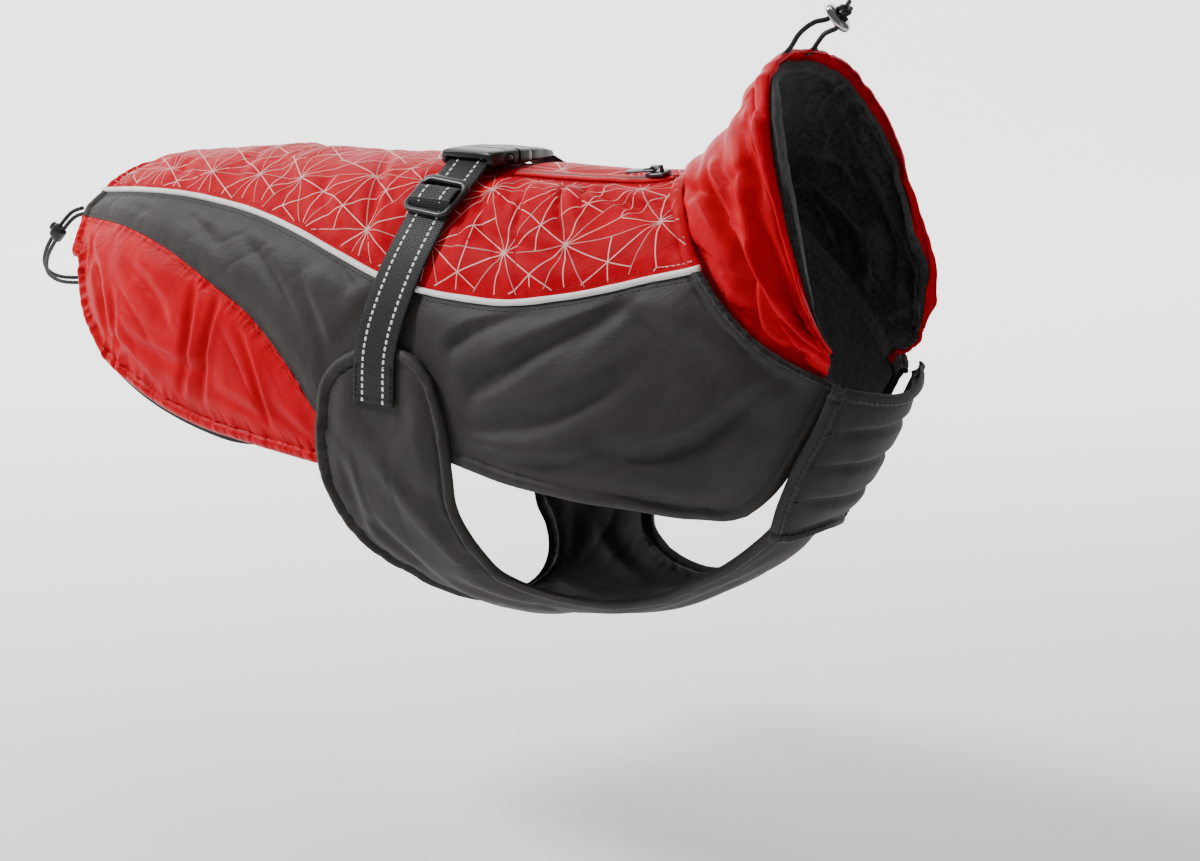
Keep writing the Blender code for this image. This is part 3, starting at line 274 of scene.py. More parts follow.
# ---- print ----
PRINT_SEED = 5
PRINT_PITCH = 38.0          # distance between the lattice's main knots
PRINT_JITTER = 6.0
PRINT_WIDTH = 0.48
PRINT_DROPPED = 0.22        # share of the lattice's short lines left out
PRINT_LIFT = 0.1
PRINT_STEP = 1.7
PRINT_MARGIN = 1.8          # the print stops this far from the edges

# ---- stage, light and camera ----
FLOOR = -0.36
SWEEP_START = 1.2
SWEEP_RADIUS = 0.9
AWAY = (-0.6011, 0.7693, 0.0)           # level direction from the camera to the backdrop
GLOW_NEAR = 0.14            # own light of the floor near the coat, and of the backdrop
GLOW_FAR = 2.0
SKY = 0.18
LAMPS = (("key", (-1.05, -0.85, 1.25), (0.34, 0.34), 40.0),
         ("fill", (1.6, -0.6, 0.5), (1.0, 1.0), 1.5),
         ("top", (0.1, 0.1, 1.6), (0.9, 0.8), 6.0))
LAMPS_AIM = (0.0, 0.0, -0.06)
LENS = 69.0
CAMERA_AT = (776.6, -855.9, 119.4)
CAMERA_RIGHT = (0.788, 0.6157, 0.0)
CAMERA_BACK = (0.6011, -0.7693, 0.2164)


# ---------------------------------------------------------------- materials

class Finish:
    """Builds one material node by node."""

    def __init__(self, name, colour, rough, specular=0.5, metal=0.0, index=1.5, sheen=0.0,
                 tint=(1, 1, 1)):
        self.material = bpy.data.materials.new(name)
        self.material.use_nodes = True
        self.nodes = self.material.node_tree.nodes
        self.link = self.material.node_tree.links.new
        self.inputs = self.nodes["Principled BSDF"].inputs
        self.height = None
        for socket, value in (("Base Color", (*colour, 1)), ("Roughness", rough),
                              ("Metallic", metal), ("Sheen Weight", sheen),
                              ("Sheen Roughness", 0.45), ("Sheen Tint", (*tint, 1)),
                              ("Specular IOR Level", specular), ("IOR", index)):
            self.inputs[socket].default_value = value

    def add(self, kind, feeds, output=0, **values):
        """A node fed by (socket, output) pairs; its numbers and settings go by name."""
        node = self.nodes.new(kind)
        for key, value in values.items():
            key = key.replace("_", " ") if key[0].isupper() else key
            if key in node.inputs:
                node.inputs[key].default_value = value
            else:
                setattr(node, key, value)
        for socket, source in feeds:
            self.link(source, node.inputs[socket])
        return node.outputs[output]

    def place(self, source="UV", scale=(1, 1, 1)):
        """Coordinates in metres: of the flat cloth, or of the object."""
        vector = self.add("ShaderNodeTexCoord", (), source)
        return self.add("ShaderNodeMapping", (("Vector", vector),), Scale=scale)

    def noise(self, vector, scale, detail=3.0, rough=0.55):
        return self.add("ShaderNodeTexNoise", (("Vector", vector),), "Fac", Scale=scale,
                        Detail=detail, Roughness=rough)

    def spread(self, value, low, high, start=0.3, end=0.7):
        return self.add("ShaderNodeMapRange", (("Value", value),), From_Min=start, From_Max=end,
                        To_Min=low, To_Max=high)

    def vary(self, value, dark, light):
        """Colour between two tones."""
        node = self.nodes.new("ShaderNodeMix")
        node.data_type = "RGBA"
        node.inputs[6].default_value = (*dark, 1)
        node.inputs[7].default_value = (*light, 1)
        self.link(self.spread(value, 0, 1), node.inputs[0])
        self.link(node.outputs[2], self.inputs["Base Color"])

    def bump(self, value, strength, distance):
        feeds = [("Height", value)] + ([("Normal", self.height)] if self.height else [])
        self.height = self.add("ShaderNodeBump", feeds, Strength=strength, Distance=distance)
        self.link(self.height, self.inputs["Normal"])

    def weave(self, vector, pitch, strength, distance):
        """Plain weave: threads over and under at a pitch in metres."""
        parts = self.nodes.new("ShaderNodeSeparateXYZ")
        self.link(vector, parts.inputs[0])
        waves = []
        for axis in (0, 1):
            turned = self.math("MULTIPLY", parts.outputs[axis])
            turned.node.inputs[1].default_value = math.pi / pitch
            waves.append(self.math("SINE", turned))
        self.bump(self.math("MULTIPLY", *waves), strength, distance)

    def math(self, operation, *values):
        return self.add("ShaderNodeMath", enumerate(values), operation=operation)


def cloth(name, dark, light, rough, pitch, specular, strength=0.25, **looks):
    """Woven cloth: two tones, creasing at two scales and a weave."""
    finish = Finish(name, light, rough, specular, **looks)
    vector = finish.place()
    finish.vary(finish.noise(vector, 60, 4), dark, light)
    finish.bump(finish.noise(vector, 150, 3), 0.2, 0.0012)
    finish.bump(finish.noise(finish.place(scale=(1, 2.6, 1)), 210, 4), 0.3, 0.0008)
    finish.weave(vector, pitch, strength, 0.00012)
    return finish.material


RED = cloth("red satin", (0.47, 0.0002, 0.008), (0.63, 0.0003, 0.013), 0.34, 0.00042, 0.4,
            index=1.16)
RED_PRINT = cloth("red printed cloth", (0.43, 0.0002, 0.009), (0.57, 0.0003, 0.013), 0.38,
                  0.00042, 0.4, index=1.10)
SOFTSHELL = cloth("dark softshell", (0.025, 0.0225, 0.0205), (0.037, 0.033, 0.0305), 0.58,
                  0.00055, 0.22, sheen=0.05, tint=(0.75, 0.72, 0.68))
HOOK = cloth("napped band", (0.025, 0.025, 0.0252), (0.040, 0.040, 0.0402), 0.75, 0.0007, 0.15,
             0.3, sheen=0.12, tint=(0.7, 0.7, 0.7))
PIPING_CLOTH = cloth("white piping", (0.86, 0.85, 0.82), (0.95, 0.94, 0.91), 0.42, 0.0005, 0.3,
                     0.2)
PRINT = Finish("silver print", (0.92, 0.44, 0.41), 0.4, 0.25).material
# darker red than the cloth: partly the thread's own tone, partly painted shade of the stitch holes
RED_THREAD_HOLE_SHADE = Finish("red thread with painted hole shade", (0.34, 0.0006, 0.001), 0.5, 0.2).material
DARK_THREAD = Finish("dark thread", (0.009, 0.009, 0.009), 0.55, 0.25).material
TICK = Finish("reflective thread", (0.78, 0.80, 0.79), 0.32).material
COIL = Finish("zip coil", (0.10, 0.09, 0.09), 0.42).material
TIP = Finish("cord tip", (0.05, 0.05, 0.05), 0.4).material
CHROME = Finish("chromed bead", (0.50, 0.49, 0.48), 0.12, metal=1.0).material
GUNMETAL = Finish("gunmetal", (0.07, 0.07, 0.075), 0.3, metal=1.0).material

fleece = Finish("dark fleece", (0.02, 0.02, 0.02), 0.95, 0.1, sheen=0.35, tint=(0.6, 0.6, 0.62))
pile = fleece.place("Object")
fleece.vary(fleece.noise(pile, 420, 5), (0.012, 0.012, 0.0125), (0.046, 0.046, 0.0465))
fleece.bump(fleece.noise(pile, 700, 6, 0.75), 0.9, 0.0012)
fleece.bump(fleece.noise(pile, 160, 3), 0.4, 0.002)
FLEECE = fleece.material

belt = Finish("black webbing", (0.010, 0.011, 0.013), 0.55, 0.3, sheen=0.05)
strap = belt.place()
belt.bump(belt.add("ShaderNodeTexBrick", (("Vector", strap),), "Fac", Scale=1.0,
                   Brick_Width=0.0024, Row_Height=0.0011, Mortar_Size=0.0002,
                   Mortar_Smooth=1.0), 1.0, -0.0006)
belt.vary(belt.noise(strap, 900, 2), (0.003, 0.0034, 0.0044), (0.011, 0.0117, 0.0137))
WEBBING = belt.material

plastic = Finish("black plastic", (0.009, 0.009, 0.010), 0.33, 0.4)
plastic.bump(plastic.noise(plastic.place("Object"), 1500, 2), 0.06, 0.0002)
PLASTIC = plastic.material

braid = Finish("braided cord", (0.012, 0.012, 0.013), 0.5, 0.3)
braid.weave(braid.place(), 0.0012, 0.7, 0.0004)
CORD = braid.material


# ---------------------------------------------------------------- curves and surfaces

def unit(rows):
    """Each row at length one."""
    return rows / np.linalg.norm(rows, axis=-1, keepdims=True)


def smooth_step(value, low, high):
    share = np.clip((value - low) / (high - low), 0, 1)
    return share * share * (3 - 2 * share)


def squared(turn, power):
    """Cosine and sine of a superellipse: round at power 2, and squarer above."""
    return [np.sign(part) * np.abs(part) ** (2 / power) for part in (np.cos(turn), np.sin(turn))]


def lengths(points):
    """How far along a line each of its points is."""
    return np.append(0.0, np.cumsum(np.linalg.norm(np.diff(points, axis=0), axis=1)))


def cubic(stops, values, at):
    """A smooth curve through the rows of `values`, read at `at`."""
    at = np.asarray(at, float)
    slopes = np.gradient(values, stops, axis=0)
    i = np.clip(np.searchsorted(stops, at) - 1, 0, len(stops) - 2)
    step = stops[i + 1] - stops[i]
    shape = at.shape + (1,) * (values.ndim - 1)
    t, step = ((at - stops[i]) / step).reshape(shape), step.reshape(shape)
    ease = t * t * (3 - 2 * t)
    start = values[i] * (1 - ease) + slopes[i] * step * t * (1 - t) ** 2
    return start + values[i + 1] * ease - slopes[i + 1] * step * t * t * (1 - t)


def path_through(rows, fractions):
    """Read a smooth path through the rows at fractions of its length."""
    rows = np.asarray(rows, float)
    scale = np.array([1.0, BODY_DEGREE]) if rows.shape[1] == 2 else 1.0
    new = np.append(True, np.linalg.norm(np.diff(rows * scale, axis=0), axis=1) > 1e-6)
    stops = lengths(rows[new] * scale)
    return cubic(stops / stops[-1], rows[new], fractions)


def fine(rows, count=260):
    """A smooth outline, read at many even steps."""
    return path_through(rows, np.linspace(0, 1, count))


def joined(*parts):
    """Points and outlines as one outline."""
    return np.concatenate([np.atleast_2d(np.asarray(part, float)) for part in parts])


class Tube:
    """A smooth tube through a table of rings."""

    def __init__(self, rows):
        table = np.array(rows, float)
        self.stops, self.columns = table[:, 0], table[:, 1:]

    def point(self, places):
        along, angle = np.moveaxis(np.asarray(places, float), -1, 0)
        top_x, top_z, low_x, low_z, half_width, widest, square, bow = np.moveaxis(
            cubic(self.stops, self.columns, along), -1, 0)
        cosine, sine = squared(np.radians(angle), square)
        down = (1 - cosine) / 2
        down = down + (widest - 0.5) * 4 * down * (1 - down)
        run_x, run_z = low_x - top_x, low_z - top_z
        sway = bow * 4 * down * (1 - down) / np.hypot(run_x, run_z)
        return np.stack([top_x + run_x * down - run_z * sway, -half_width * sine,
                         top_z + run_z * down + run_x * sway], -1)

    def steps(self, places, reach):
        """How the surface runs over `reach` forwards, and over `reach` degrees round."""
        return [self.point(places + step) - self.point(places - step)
                for step in np.eye(2) * reach]

    def normal(self, places):
        forward, around = self.steps(np.asarray(places, float), 1.0)
        return unit(np.cross(around, forward))

    def place(self, places, lift):
        return self.point(places) + self.normal(places) * np.asarray(lift, float)[..., None]

    def stretch(self, places):
        """Millimetres of cloth for one unit of `along` and for one degree."""
        return np.stack([np.linalg.norm(step, axis=-1) for step in self.steps(places, 0.5)], -1)


class Collar(Tube):
    """A tube that starts inside the body's neckline and rises into its own rings."""

    def point(self, places):
        rise, angle = np.moveaxis(np.asarray(places, float), -1, 0)
        neckline = np.array(NECK_EDGE, float)
        edge = cubic(neckline[:, 1], neckline[:, 0], np.abs(angle))
        past = np.minimum(rise, SEW_DEPTH + 2) - SEW_DEPTH + SEW_CLEAR
        edge = edge + past / body.stretch(np.stack([edge, angle], -1))[..., 0]
        sewn = body.place(np.stack([edge, angle], -1), -SEW_INSET)
        free = super().point(places)
        return sewn + (free - sewn) * smooth_step(rise, SEW_DEPTH, FREE_RISE)[..., None]


body = Tube(BODY)
neck = Collar(COLLAR)


def moved(line, reach):
    """An outline moved `reach` mm square to itself: down the side if it runs forwards."""
    stretch = body.stretch(line)
    run = unit(np.gradient(line, axis=0) * stretch)
    return line + np.stack([-run[:, 1], run[:, 0]], -1) * reach / stretch


def inset(line, reach, towards):
    """An outline moved `reach` mm into its piece, whose middle is `towards`."""
    out = moved(line, reach)
    here = body.point(line)
    inward = ((body.point(out) - here) * (body.point(towards) - here)).sum() > 0
    return out if inward else 2 * line - out


def over(rows):
    """The same outline on the left side, counted on past angle 180."""
    return np.asarray(rows, float) * (1, -1) + (0, 360)


def across(rows):
    """A right-hand outline joined to its mirror image, from right to left over angle 0 or 180."""
    rows = np.asarray(rows, float)
    far = over(rows) if rows[-1, 1] > 90 else rows * (1, -1)
    return joined(rows, far[-2::-1])


def coons(edges, s, t):
    """Blend four edges: the first two run with t, and the others with s."""
    first, last, start, end = (np.asarray(edge, float) for edge in edges)
    a, b = path_through(first, t), path_through(last, t)
    c, d = path_through(start, s), path_through(end, s)
    s, t = s[..., None], t[..., None]
    ruled = a * (1 - s) + b * s + c * (1 - t) + d * t
    return ruled - ((first[0] * (1 - t) + first[-1] * t) * (1 - s)
                    + (last[0] * (1 - t) + last[-1] * t) * s)


def stops_for(length, inner, hemmed):
    """Fractions of a line, with close steps where it meets a hem or seam."""
    lead = np.array(EDGE_STEPS)
    lead = lead * min(1.0, length / (3.2 * lead[-1])) if hemmed else lead[:1]
    middle = np.linspace(lead[-1], length - lead[-1], inner + 2)[1:-1]
    return np.concatenate([lead, middle, length - lead[::-1]]) / length


def grid_on(edges, cols, rows, hemmed=(True, True)):
    """(along, angle) of a grid inside four edges: rear, front, upper and lower."""
    coarse = np.linspace(0, 1, 25)
    shape = body.point(coons(edges, *np.meshgrid(coarse, coarse, indexing="ij")))
    down = np.linalg.norm(np.diff(shape, axis=1), axis=-1).sum(1)
    forward = np.linalg.norm(np.diff(shape, axis=0), axis=-1).sum(0)
    t_lines = np.array([stops_for(length, rows, hemmed[1]) for length in down])
    s_lines = np.array([stops_for(length, cols, hemmed[0]) for length in forward])
    s_mean, t_mean = s_lines.mean(0), t_lines.mean(0)
    t_grid = np.stack([np.interp(s_mean, coarse, line) for line in t_lines.T], 1)
    s_grid = np.stack([np.interp(t_mean, coarse, line) for line in s_lines.T])
    return coons(edges, s_grid, t_grid)


# ---------------------------------------------------------------- noise and cloth relief

def wander(x, y, pitch, seed):
    """Smooth random heights between -1 and 1; `pitch` is the size of one hill."""
    table = np.random.RandomState(seed).uniform(-1, 1, (64, 64))
    x, y = x / pitch + 17.3, y / pitch + 29.1
    i, j = np.floor(x).astype(int), np.floor(y).astype(int)
    a, b = smooth_step(x - i, 0, 1), smooth_step(y - j, 0, 1)
    i, j, right, above = i % 64, j % 64, (i + 1) % 64, (j + 1) % 64
    near = table[i, j] * (1 - a) + table[right, j] * a
    return near * (1 - b) + (table[i, above] * (1 - a) + table[right, above] * a) * b


def bell(value, reach, power=2):
    """One in the middle, fading to nothing beyond `reach`."""
    return np.exp(-(value / reach) ** power)


def nearest(points, line):
    """Distance from each point to a line, and how far along the line its nearest place is."""
    flat = points.reshape(-1, 3)
    gap, run = np.full(len(flat), np.inf), np.zeros(len(flat))
    for start, end, at in zip(line[:-1], line[1:], lengths(line)):
        step = end - start
        length = np.linalg.norm(step)
        if length < 1e-9:
            continue
        share = np.clip((flat - start) @ step / length ** 2, 0, 1)
        away = np.linalg.norm(flat - start - share[:, None] * step, axis=1)
        closer = away < gap
        gap[closer], run[closer] = away[closer], at + share[closer] * length
    return gap.reshape(points.shape[:-1]), run.reshape(points.shape[:-1])


def creases(places, folds, left, degree):
    """Depth of the folds: a soft trough, with a lower ridge on its upper side, that bends."""
    along, angle = places[..., 0], places[..., 1]
    angle = np.abs(np.where(angle > 180, angle - 360, angle))
    depth = 0.0
    for row, (fold_along, fold_angle, heading, length, width, deep, bend) in enumerate(folds):
        forward = along - fold_along - left * LEFT_SHIFT * (1 if row % 2 else -0.6)
        down = (angle - fold_angle) * degree
        cosine, sine = math.cos(math.radians(heading)), math.sin(math.radians(heading))
        share = 2 * (forward * cosine + down * sine) / length
        aside = down * cosine - forward * sine - bend * share * share
        strength = (1 - (1 - LEFT_DEPTH) * left) * deep * bell(share, 1, 4)
        depth += strength * (bell(aside, width)
                             - RIDGE_SHARE * bell(aside + 1.7 * width, 1.2 * width))
    return depth


class Panel:
    """A padded piece of cloth: where its outer face lies at any (along, angle)."""

    form, degree, seed, puff = body, BODY_DEGREE, 1, PUFF
    crumple, crinkle, grain = 0.4, 0.3, 80      # waves, fine crinkles and the way these run
    pucker, pitch = 0.5, 5.0                    # depth and pitch of the gathers at stitches
    roll, groove, seam_reach = 1.3, STITCH_SINK, PUFF_REACH

    def __init__(self, lift, wall, hems=(), seams=(), folds=(), pressed=(), **relief):
        vars(self).update(relief, lift=lift, wall=wall, folds=folds)
        self.hems = [body.point(fine(rows, max(260, len(rows)))) for rows in hems]
        self.seams = [body.point(fine(rows)) for rows in seams]
        self.pressed = [(body.point(fine(rows, 60)), reach) for rows, reach in pressed]

    def gathers(self, run, beyond, number):
        """Small folds square to a line of stitches, sharp in their valleys."""
        lean = wander(run + 0.3 * beyond, 0.15 * beyond, self.pitch, self.seed + number)
        strong = 0.7 + 0.6 * wander(run, 0 * run, 38.0, self.seed + 40 + number)
        reach = np.where(beyond < 0, PUCKER_OUT, PUCKER_IN)
        return (2.2 * np.abs(lean) ** 0.8 - 0.9) * strong * bell(beyond, reach)

    def rumple(self, x, y):
        """Loose, uneven waves, and fine crinkles that run mostly one way."""
        seed, grain = self.seed, math.radians(self.grain)
        soft = wander(x, y, 34, seed) + 0.6 * wander(x + y, y - x, 17, seed + 5)
        run = x * math.cos(grain) + y * math.sin(grain)
        aside = y * math.cos(grain) - x * math.sin(grain) + 9.0 * wander(x, y, 46, seed + 7)
        large = wander(aside, run / 3.4, 12.0, seed + 9)
        small = wander(aside + 0.5 * run, run / 1.6, 7.5, seed + 11)
        patch = np.clip(0.5 + 1.1 * wander(x, y, 40, seed + 13), 0, None)
        other = np.clip(0.3 + 1.2 * wander(x, y, 30, seed + 15), 0, None)
        sharp = 0.9 * patch * (0.9 * np.abs(large) - bell(large, 0.16))
        return soft * self.crumple + (sharp - 0.55 * other * bell(small, 0.13)) * self.crinkle

    def stand(self, places):
        """How far the padded cloth stands out: rolled hems, wadding, gathers and folds."""
        points = body.point(places)
        fill, flat, free = np.ones((3,) + points.shape[:-1])
        roll, pucker, sink = np.zeros((3,) + points.shape[:-1])
        for number, line in enumerate(self.hems):
            gap, run = nearest(points, line)
            fill *= 1 - bell(np.clip(gap - HEM_WIDTH, 0, None), PUFF_REACH)
            share = np.clip(gap / HEM_WIDTH, 0, 1)
            roll = np.maximum(roll, np.sin(share * math.pi) ** 0.8)
            pucker += self.gathers(run, gap - HEM_WIDTH, number)
            sink = np.maximum(sink, bell(gap - HEM_WIDTH, STITCH_REACH))
        for number, line in enumerate(self.seams):
            gap, run = nearest(points, line)
            fill *= 1 - bell(gap, self.seam_reach)
            pucker += 0.55 * self.gathers(run, gap - 1.5, 20 + number)
        for line, reach in self.pressed:
            beyond = np.clip(nearest(points, line)[0] - reach, 0, None)
            flat *= 1 - bell(beyond, PUFF_REACH)
            free *= 0.4 + 0.6 * smooth_step(beyond, 0.5, 3.0)
        deep = creases(places, self.folds, smooth_step(points[..., 1], -5, 5), self.degree)
        wadding = self.puff - deep + self.rumple(places[..., 0], places[..., 1] * self.degree)
        trim = roll * self.roll - sink * self.groove + pucker * self.pucker
        return np.clip(trim * free + wadding * fill * flat, LOWEST, None)

    def face(self, places, over_it=0.0):
        """Points on the outer face, or `over_it` mm outside it."""
        return self.form.place(places, self.lift + self.stand(places) + self.wall + over_it)


class CollarPanel(Panel):
    """The collar's cloth: deep folds, and a gathered tunnel at the rim on the outer layer."""

    form, degree, seed = neck, NECK_DEGREE, 70

    def stand(self, places):
        rise, angle = places[..., 0], places[..., 1]
        x, y, round_it = rise, angle * NECK_DEGREE, np.abs(angle)
        deep = creases(places, COLLAR_FOLDS, 1 - smooth_step(angle, -5, 5), NECK_DEGREE)
        fade = smooth_step(rise, 3, 16) * (1 - 0.6 * smooth_step(rise, *COLLAR_FOLD_END))
        run, aside = 0.5 * x + 0.87 * y, 0.87 * x - 0.5 * y + 8.0 * wander(x, y, 30, 76)
        large = wander(aside, run / 3.2, 13.0, 73)
        small = bell(wander(run, aside, 7.0, 77), 0.14)
        rumple = 0.55 * (wander(x, y, 24, 71) + 0.6 * wander(x + y, y - x, 12, 72))
        rumple += 1.7 * np.abs(large) - 1.7 * bell(large, 0.2)
        rumple -= 0.5 * small * np.clip(wander(x, y, 21, 78), 0, 1)
        nape = 0.35 + 0.65 * smooth_step(round_it, 28, 56)
        gather = (2.0 * np.abs(wander(y, 0.1 * x, GATHER_PITCH, 74)) - 0.7) * GATHER_DEPTH
        gather = gather * (1 - 0.5 * smooth_step(round_it, *GATHER_END))
        gather = gather * bell(np.clip(TUNNEL_FROM - rise, 0, None), GATHER_REACH)
        gather = gather * (1 - 0.5 * smooth_step(rise, TUNNEL_FROM, COLLAR_RIM))
        seam = (2.0 * np.abs(wander(y, 0 * y, 5.0, 75)) - 0.7) * 0.7 * bell(rise - 11, 8)
        calm = 1 - 0.8 * smooth_step(round_it, 124, 136)
        stand = ((rumple - 1.25 * deep) * nape * fade + gather + seam) * calm
        if self.wall == FLEECE_WALL:
            past = np.clip((rise - COLLAR_RIM - 0.6) / 6.0, 0, 1)
            return (stand - BASE_SLACK * (1 - smooth_step(rise, 10, 26))
                    + 1.3 * np.sin(past * math.pi * 0.8))
        share = np.clip((rise - TUNNEL_FROM) / (COLLAR_RIM - TUNNEL_FROM), 0, 1)
        return (stand + TUNNEL_PUFF * calm * np.sin(share * math.pi) ** 0.7
                - 1.5 * bell(rise - TUNNEL_FROM, 1.2))


# ---------------------------------------------------------------- mesh builders

def keep(thing, slot=None, *nodes, rides="root"):
    """The piece rides on a body and stands for its solids, which are hidden; its record slot is
    not used.
    """
    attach(thing, rides)
    if nodes:
        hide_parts(*nodes)
    return thing


def add_object(name, mesh, material):
    mesh.materials.append(material)
    thing = bpy.data.objects.new(name, mesh)
    bpy.context.scene.collection.objects.link(thing)
    return thing


def mesh_object(name, verts, faces, flat, material):
    """A mesh from points in mm; `flat` is the cloth's own place of each point or corner."""
    mesh = bpy.data.meshes.new(name)
    mesh.from_pydata((verts * MM).tolist(), [], faces)
    uvs = flat[np.concatenate(faces)] if len(flat) == len(verts) else flat
    mesh.uv_layers.new(name="cloth").data.foreach_set("uv", (uvs * MM).ravel())
    mesh.shade_smooth()
    return add_object(name, mesh, material)


def shell(name, grids, panel, material, slot, node, wall=None, rim=0.35):
    """A closed sheet of cloth from grids of places that share their joining rows."""
    places, index = np.unique(np.round(joined(*(grid.reshape(-1, 2) for grid in grids)), 3),
                              axis=0, return_inverse=True)
    quads, parts = [], np.split(index.ravel(), [grids[0][..., 0].size])
    for grid, part in zip(grids, parts):
        corner = part.reshape(grid.shape[:2])
        quads.append(np.stack([corner[:-1, :-1], corner[:-1, 1:], corner[1:, 1:],
                               corner[1:, :-1]], -1).reshape(-1, 4))
    quads, count = np.concatenate(quads), len(places)
    wall = wall(places) if callable(wall) else wall or panel.wall
    lift = panel.lift + panel.stand(places) + panel.wall
    outer, inner = panel.form.place(places, lift), panel.form.place(places, lift - wall)
    a, b, c, _ = quads[len(quads) // 2]
    if np.cross(outer[b] - outer[a], outer[c] - outer[a]) @ panel.form.normal(places[a]) < 0:
        quads = quads[:, ::-1]
    edges = np.stack([quads, np.roll(quads, -1, 1)], -1).reshape(-1, 2)
    seen = {tuple(edge) for edge in edges.tolist()}
    faces = quads.tolist() + (quads[:, ::-1] + count).tolist()
    faces += [(b, a, a + count, b + count) for a, b in seen if (b, a) not in seen]
    flat = np.tile(places * (1, panel.degree), (2, 1))
    thing = mesh_object(name, joined(outer, inner), faces, flat, material)
    soft = thing.modifiers.new("rim", "BEVEL")
    soft.width, soft.segments = rim * MM, 2
    soft.limit_method, soft.angle_limit = "ANGLE", math.radians(62)
    return keep(thing, slot, node)


def circle(radius, sides=12):
    return oval(2 * radius, 2 * radius, sides, 2)


def oval(width, height, sides, power):
    """A cross-section: round at power 2, and a flat strap with rounded edges above."""
    turn = np.arange(sides) * 2 * math.pi / sides
    return np.stack(squared(turn, power), -1) * (width / 2, height / 2)


def skin(rings, sides, closed=False):
    """Faces over rings of `sides` points each, with an end cap on both sides unless closed."""
    faces = [(i * sides + j, i * sides + k, i_next * sides + k, i_next * sides + j)
             for i in range(rings if closed else rings - 1) for i_next in ((i + 1) % rings,)
             for j in range(sides) for k in ((j + 1) % sides,)]
    if closed:
        return faces
    return faces + [tuple(range(sides))[::-1], tuple(range((rings - 1) * sides, rings * sides))]


def sweep(name, path, profile, material, ups=None, scale=1.0, closed=False):
    """A closed cross-section carried along a path."""
    path = np.asarray(path, float)
    count, sides = len(path), len(profile)
    tangent = unit(np.roll(path, -1, 0) - np.roll(path, 1, 0) if closed
                   else np.gradient(path, axis=0))
    if ups is None:
        ups, up = np.empty_like(path), np.cross(tangent[0], (0.3, 0.5, 0.81))
        for i in range(count):
            ups[i] = up = unit(up - tangent[i] * (up @ tangent[i]))
    side = unit(np.cross(tangent, ups))
    up = np.cross(side, tangent)
    wide, high = np.broadcast_to(scale, (count, 2)).T[..., None] * profile.T[:, None]
    verts = path[:, None] + side[:, None] * wide[..., None] + up[:, None] * high[..., None]
    u, v = lengths(joined(profile, profile[0])), lengths(path)
    if closed:
        v = np.append(v, v[-1] + v[1])
    i, j = (part.ravel() for part in np.mgrid[:len(v) - 1, :sides])
    uvs = np.stack([np.stack([u[j + a], v[i + b]], -1)
                    for a, b in ((0, 0), (1, 0), (1, 1), (0, 1))], 1).reshape(-1, 2)
    if not closed:
        uvs = joined(uvs, profile[::-1], profile)
    return mesh_object(name, verts.reshape(-1, 3), skin(count, sides, closed), uvs, material)


def bars(name, rows, half, radius, material, sides=6):
    """Many small round-ended bars as one mesh: stitches, zip teeth and woven ticks.

    Each row holds the bars' middles, the ways they run and the ways they face.
    """
    centres, runs, outs = (joined(*part) for part in zip(*rows))
    runs = unit(runs)
    side = unit(np.cross(runs, outs))
    outs = np.cross(side, runs)
    turn = np.arange(sides) * 2 * math.pi / sides
    wide, high = np.broadcast_to(radius, 2)
    spin = (side[:, None] * (np.cos(turn) * wide)[:, None]
            + outs[:, None] * (np.sin(turn) * high)[:, None])
    verts = np.stack([(centres + runs * station * half)[:, None] + spin * girth
                      for station, girth in ((-1.0, 0.4), (-0.72, 1.0), (0.72, 1.0), (1.0, 0.4))],
                     1).reshape(-1, 3)
    faces = [tuple(i + base for i in face) for base in range(0, len(verts), 4 * sides)
             for face in skin(4, sides)]
    flat = np.stack([verts[:, 0] + verts[:, 1], verts[:, 2]], -1)
    return keep(mesh_object(name, verts, faces, flat, material))


def evenly(points, outs, pitch, trim=0.0):
    """Places, directions and normals at even steps along a line of points."""
    steps = lengths(points)
    at = np.arange(trim + pitch / 2, steps[-1] - trim, pitch)

    def read(rows, where):
        return np.stack([np.interp(where, steps, column) for column in rows.T], -1)

    return read(points, at), read(points, at + 0.4) - read(points, at - 0.4), read(outs, at)


def sew(name, panel, rows, material, radius=0.3):
    """Rows of stitches; each row is (line of places, how deep, trim at the ends)."""
    found = []
    for line, depth, trim in rows:
        line = fine(line, 420)
        found.append(evenly(panel.face(line, -depth), panel.form.normal(line), 3.1, trim))
    bars(name, found, 1.15, radius, material)


def loft(name, sections, material, sides=48):
    """Superellipse rings joined; a row is its middle x, y, z, half width, half height, power."""
    turn = np.arange(sides) * 2 * math.pi / sides
    rings = []
    for x, y, z, wide, high, power in sections:
        cosine, sine = squared(turn, power)
        rings.append(np.stack([x + cosine * wide, 0 * turn + y, z + sine * high], -1))
    verts = np.concatenate(rings)
    thing = mesh_object(name, verts, skin(len(rings), sides), verts[:, :2], material)
    work = bmesh.new()
    work.from_mesh(thing.data)
    bmesh.ops.recalc_face_normals(work, faces=work.faces)
    work.to_mesh(thing.data)
    work.free()
    return thing


def rounded_box(name, size, bevel, material, segments=3):
    mesh, work = bpy.data.meshes.new(name), bmesh.new()
    bmesh.ops.create_cube(work, size=1.0)
    bmesh.ops.scale(work, vec=Vector(size) * MM, verts=work.verts)
    bmesh.ops.bevel(work, geom=work.edges, offset=bevel * MM, segments=segments, profile=0.5,
                    affect="EDGES")
    work.to_mesh(mesh)
    work.free()
    return add_object(name, mesh, material)


def cut(thing, tool, operation="DIFFERENCE"):
    """Apply a Boolean at once and throw the tool away."""
    change = thing.modifiers.new("cut", "BOOLEAN")
    change.operation, change.object = operation, tool
    bpy.context.view_layer.update()
    shape = bpy.data.meshes.new_from_object(
        thing.evaluated_get(bpy.context.evaluated_depsgraph_get()))
    thing.modifiers.clear()
    thing.data = shape
    bpy.data.objects.remove(tool, do_unlink=True)


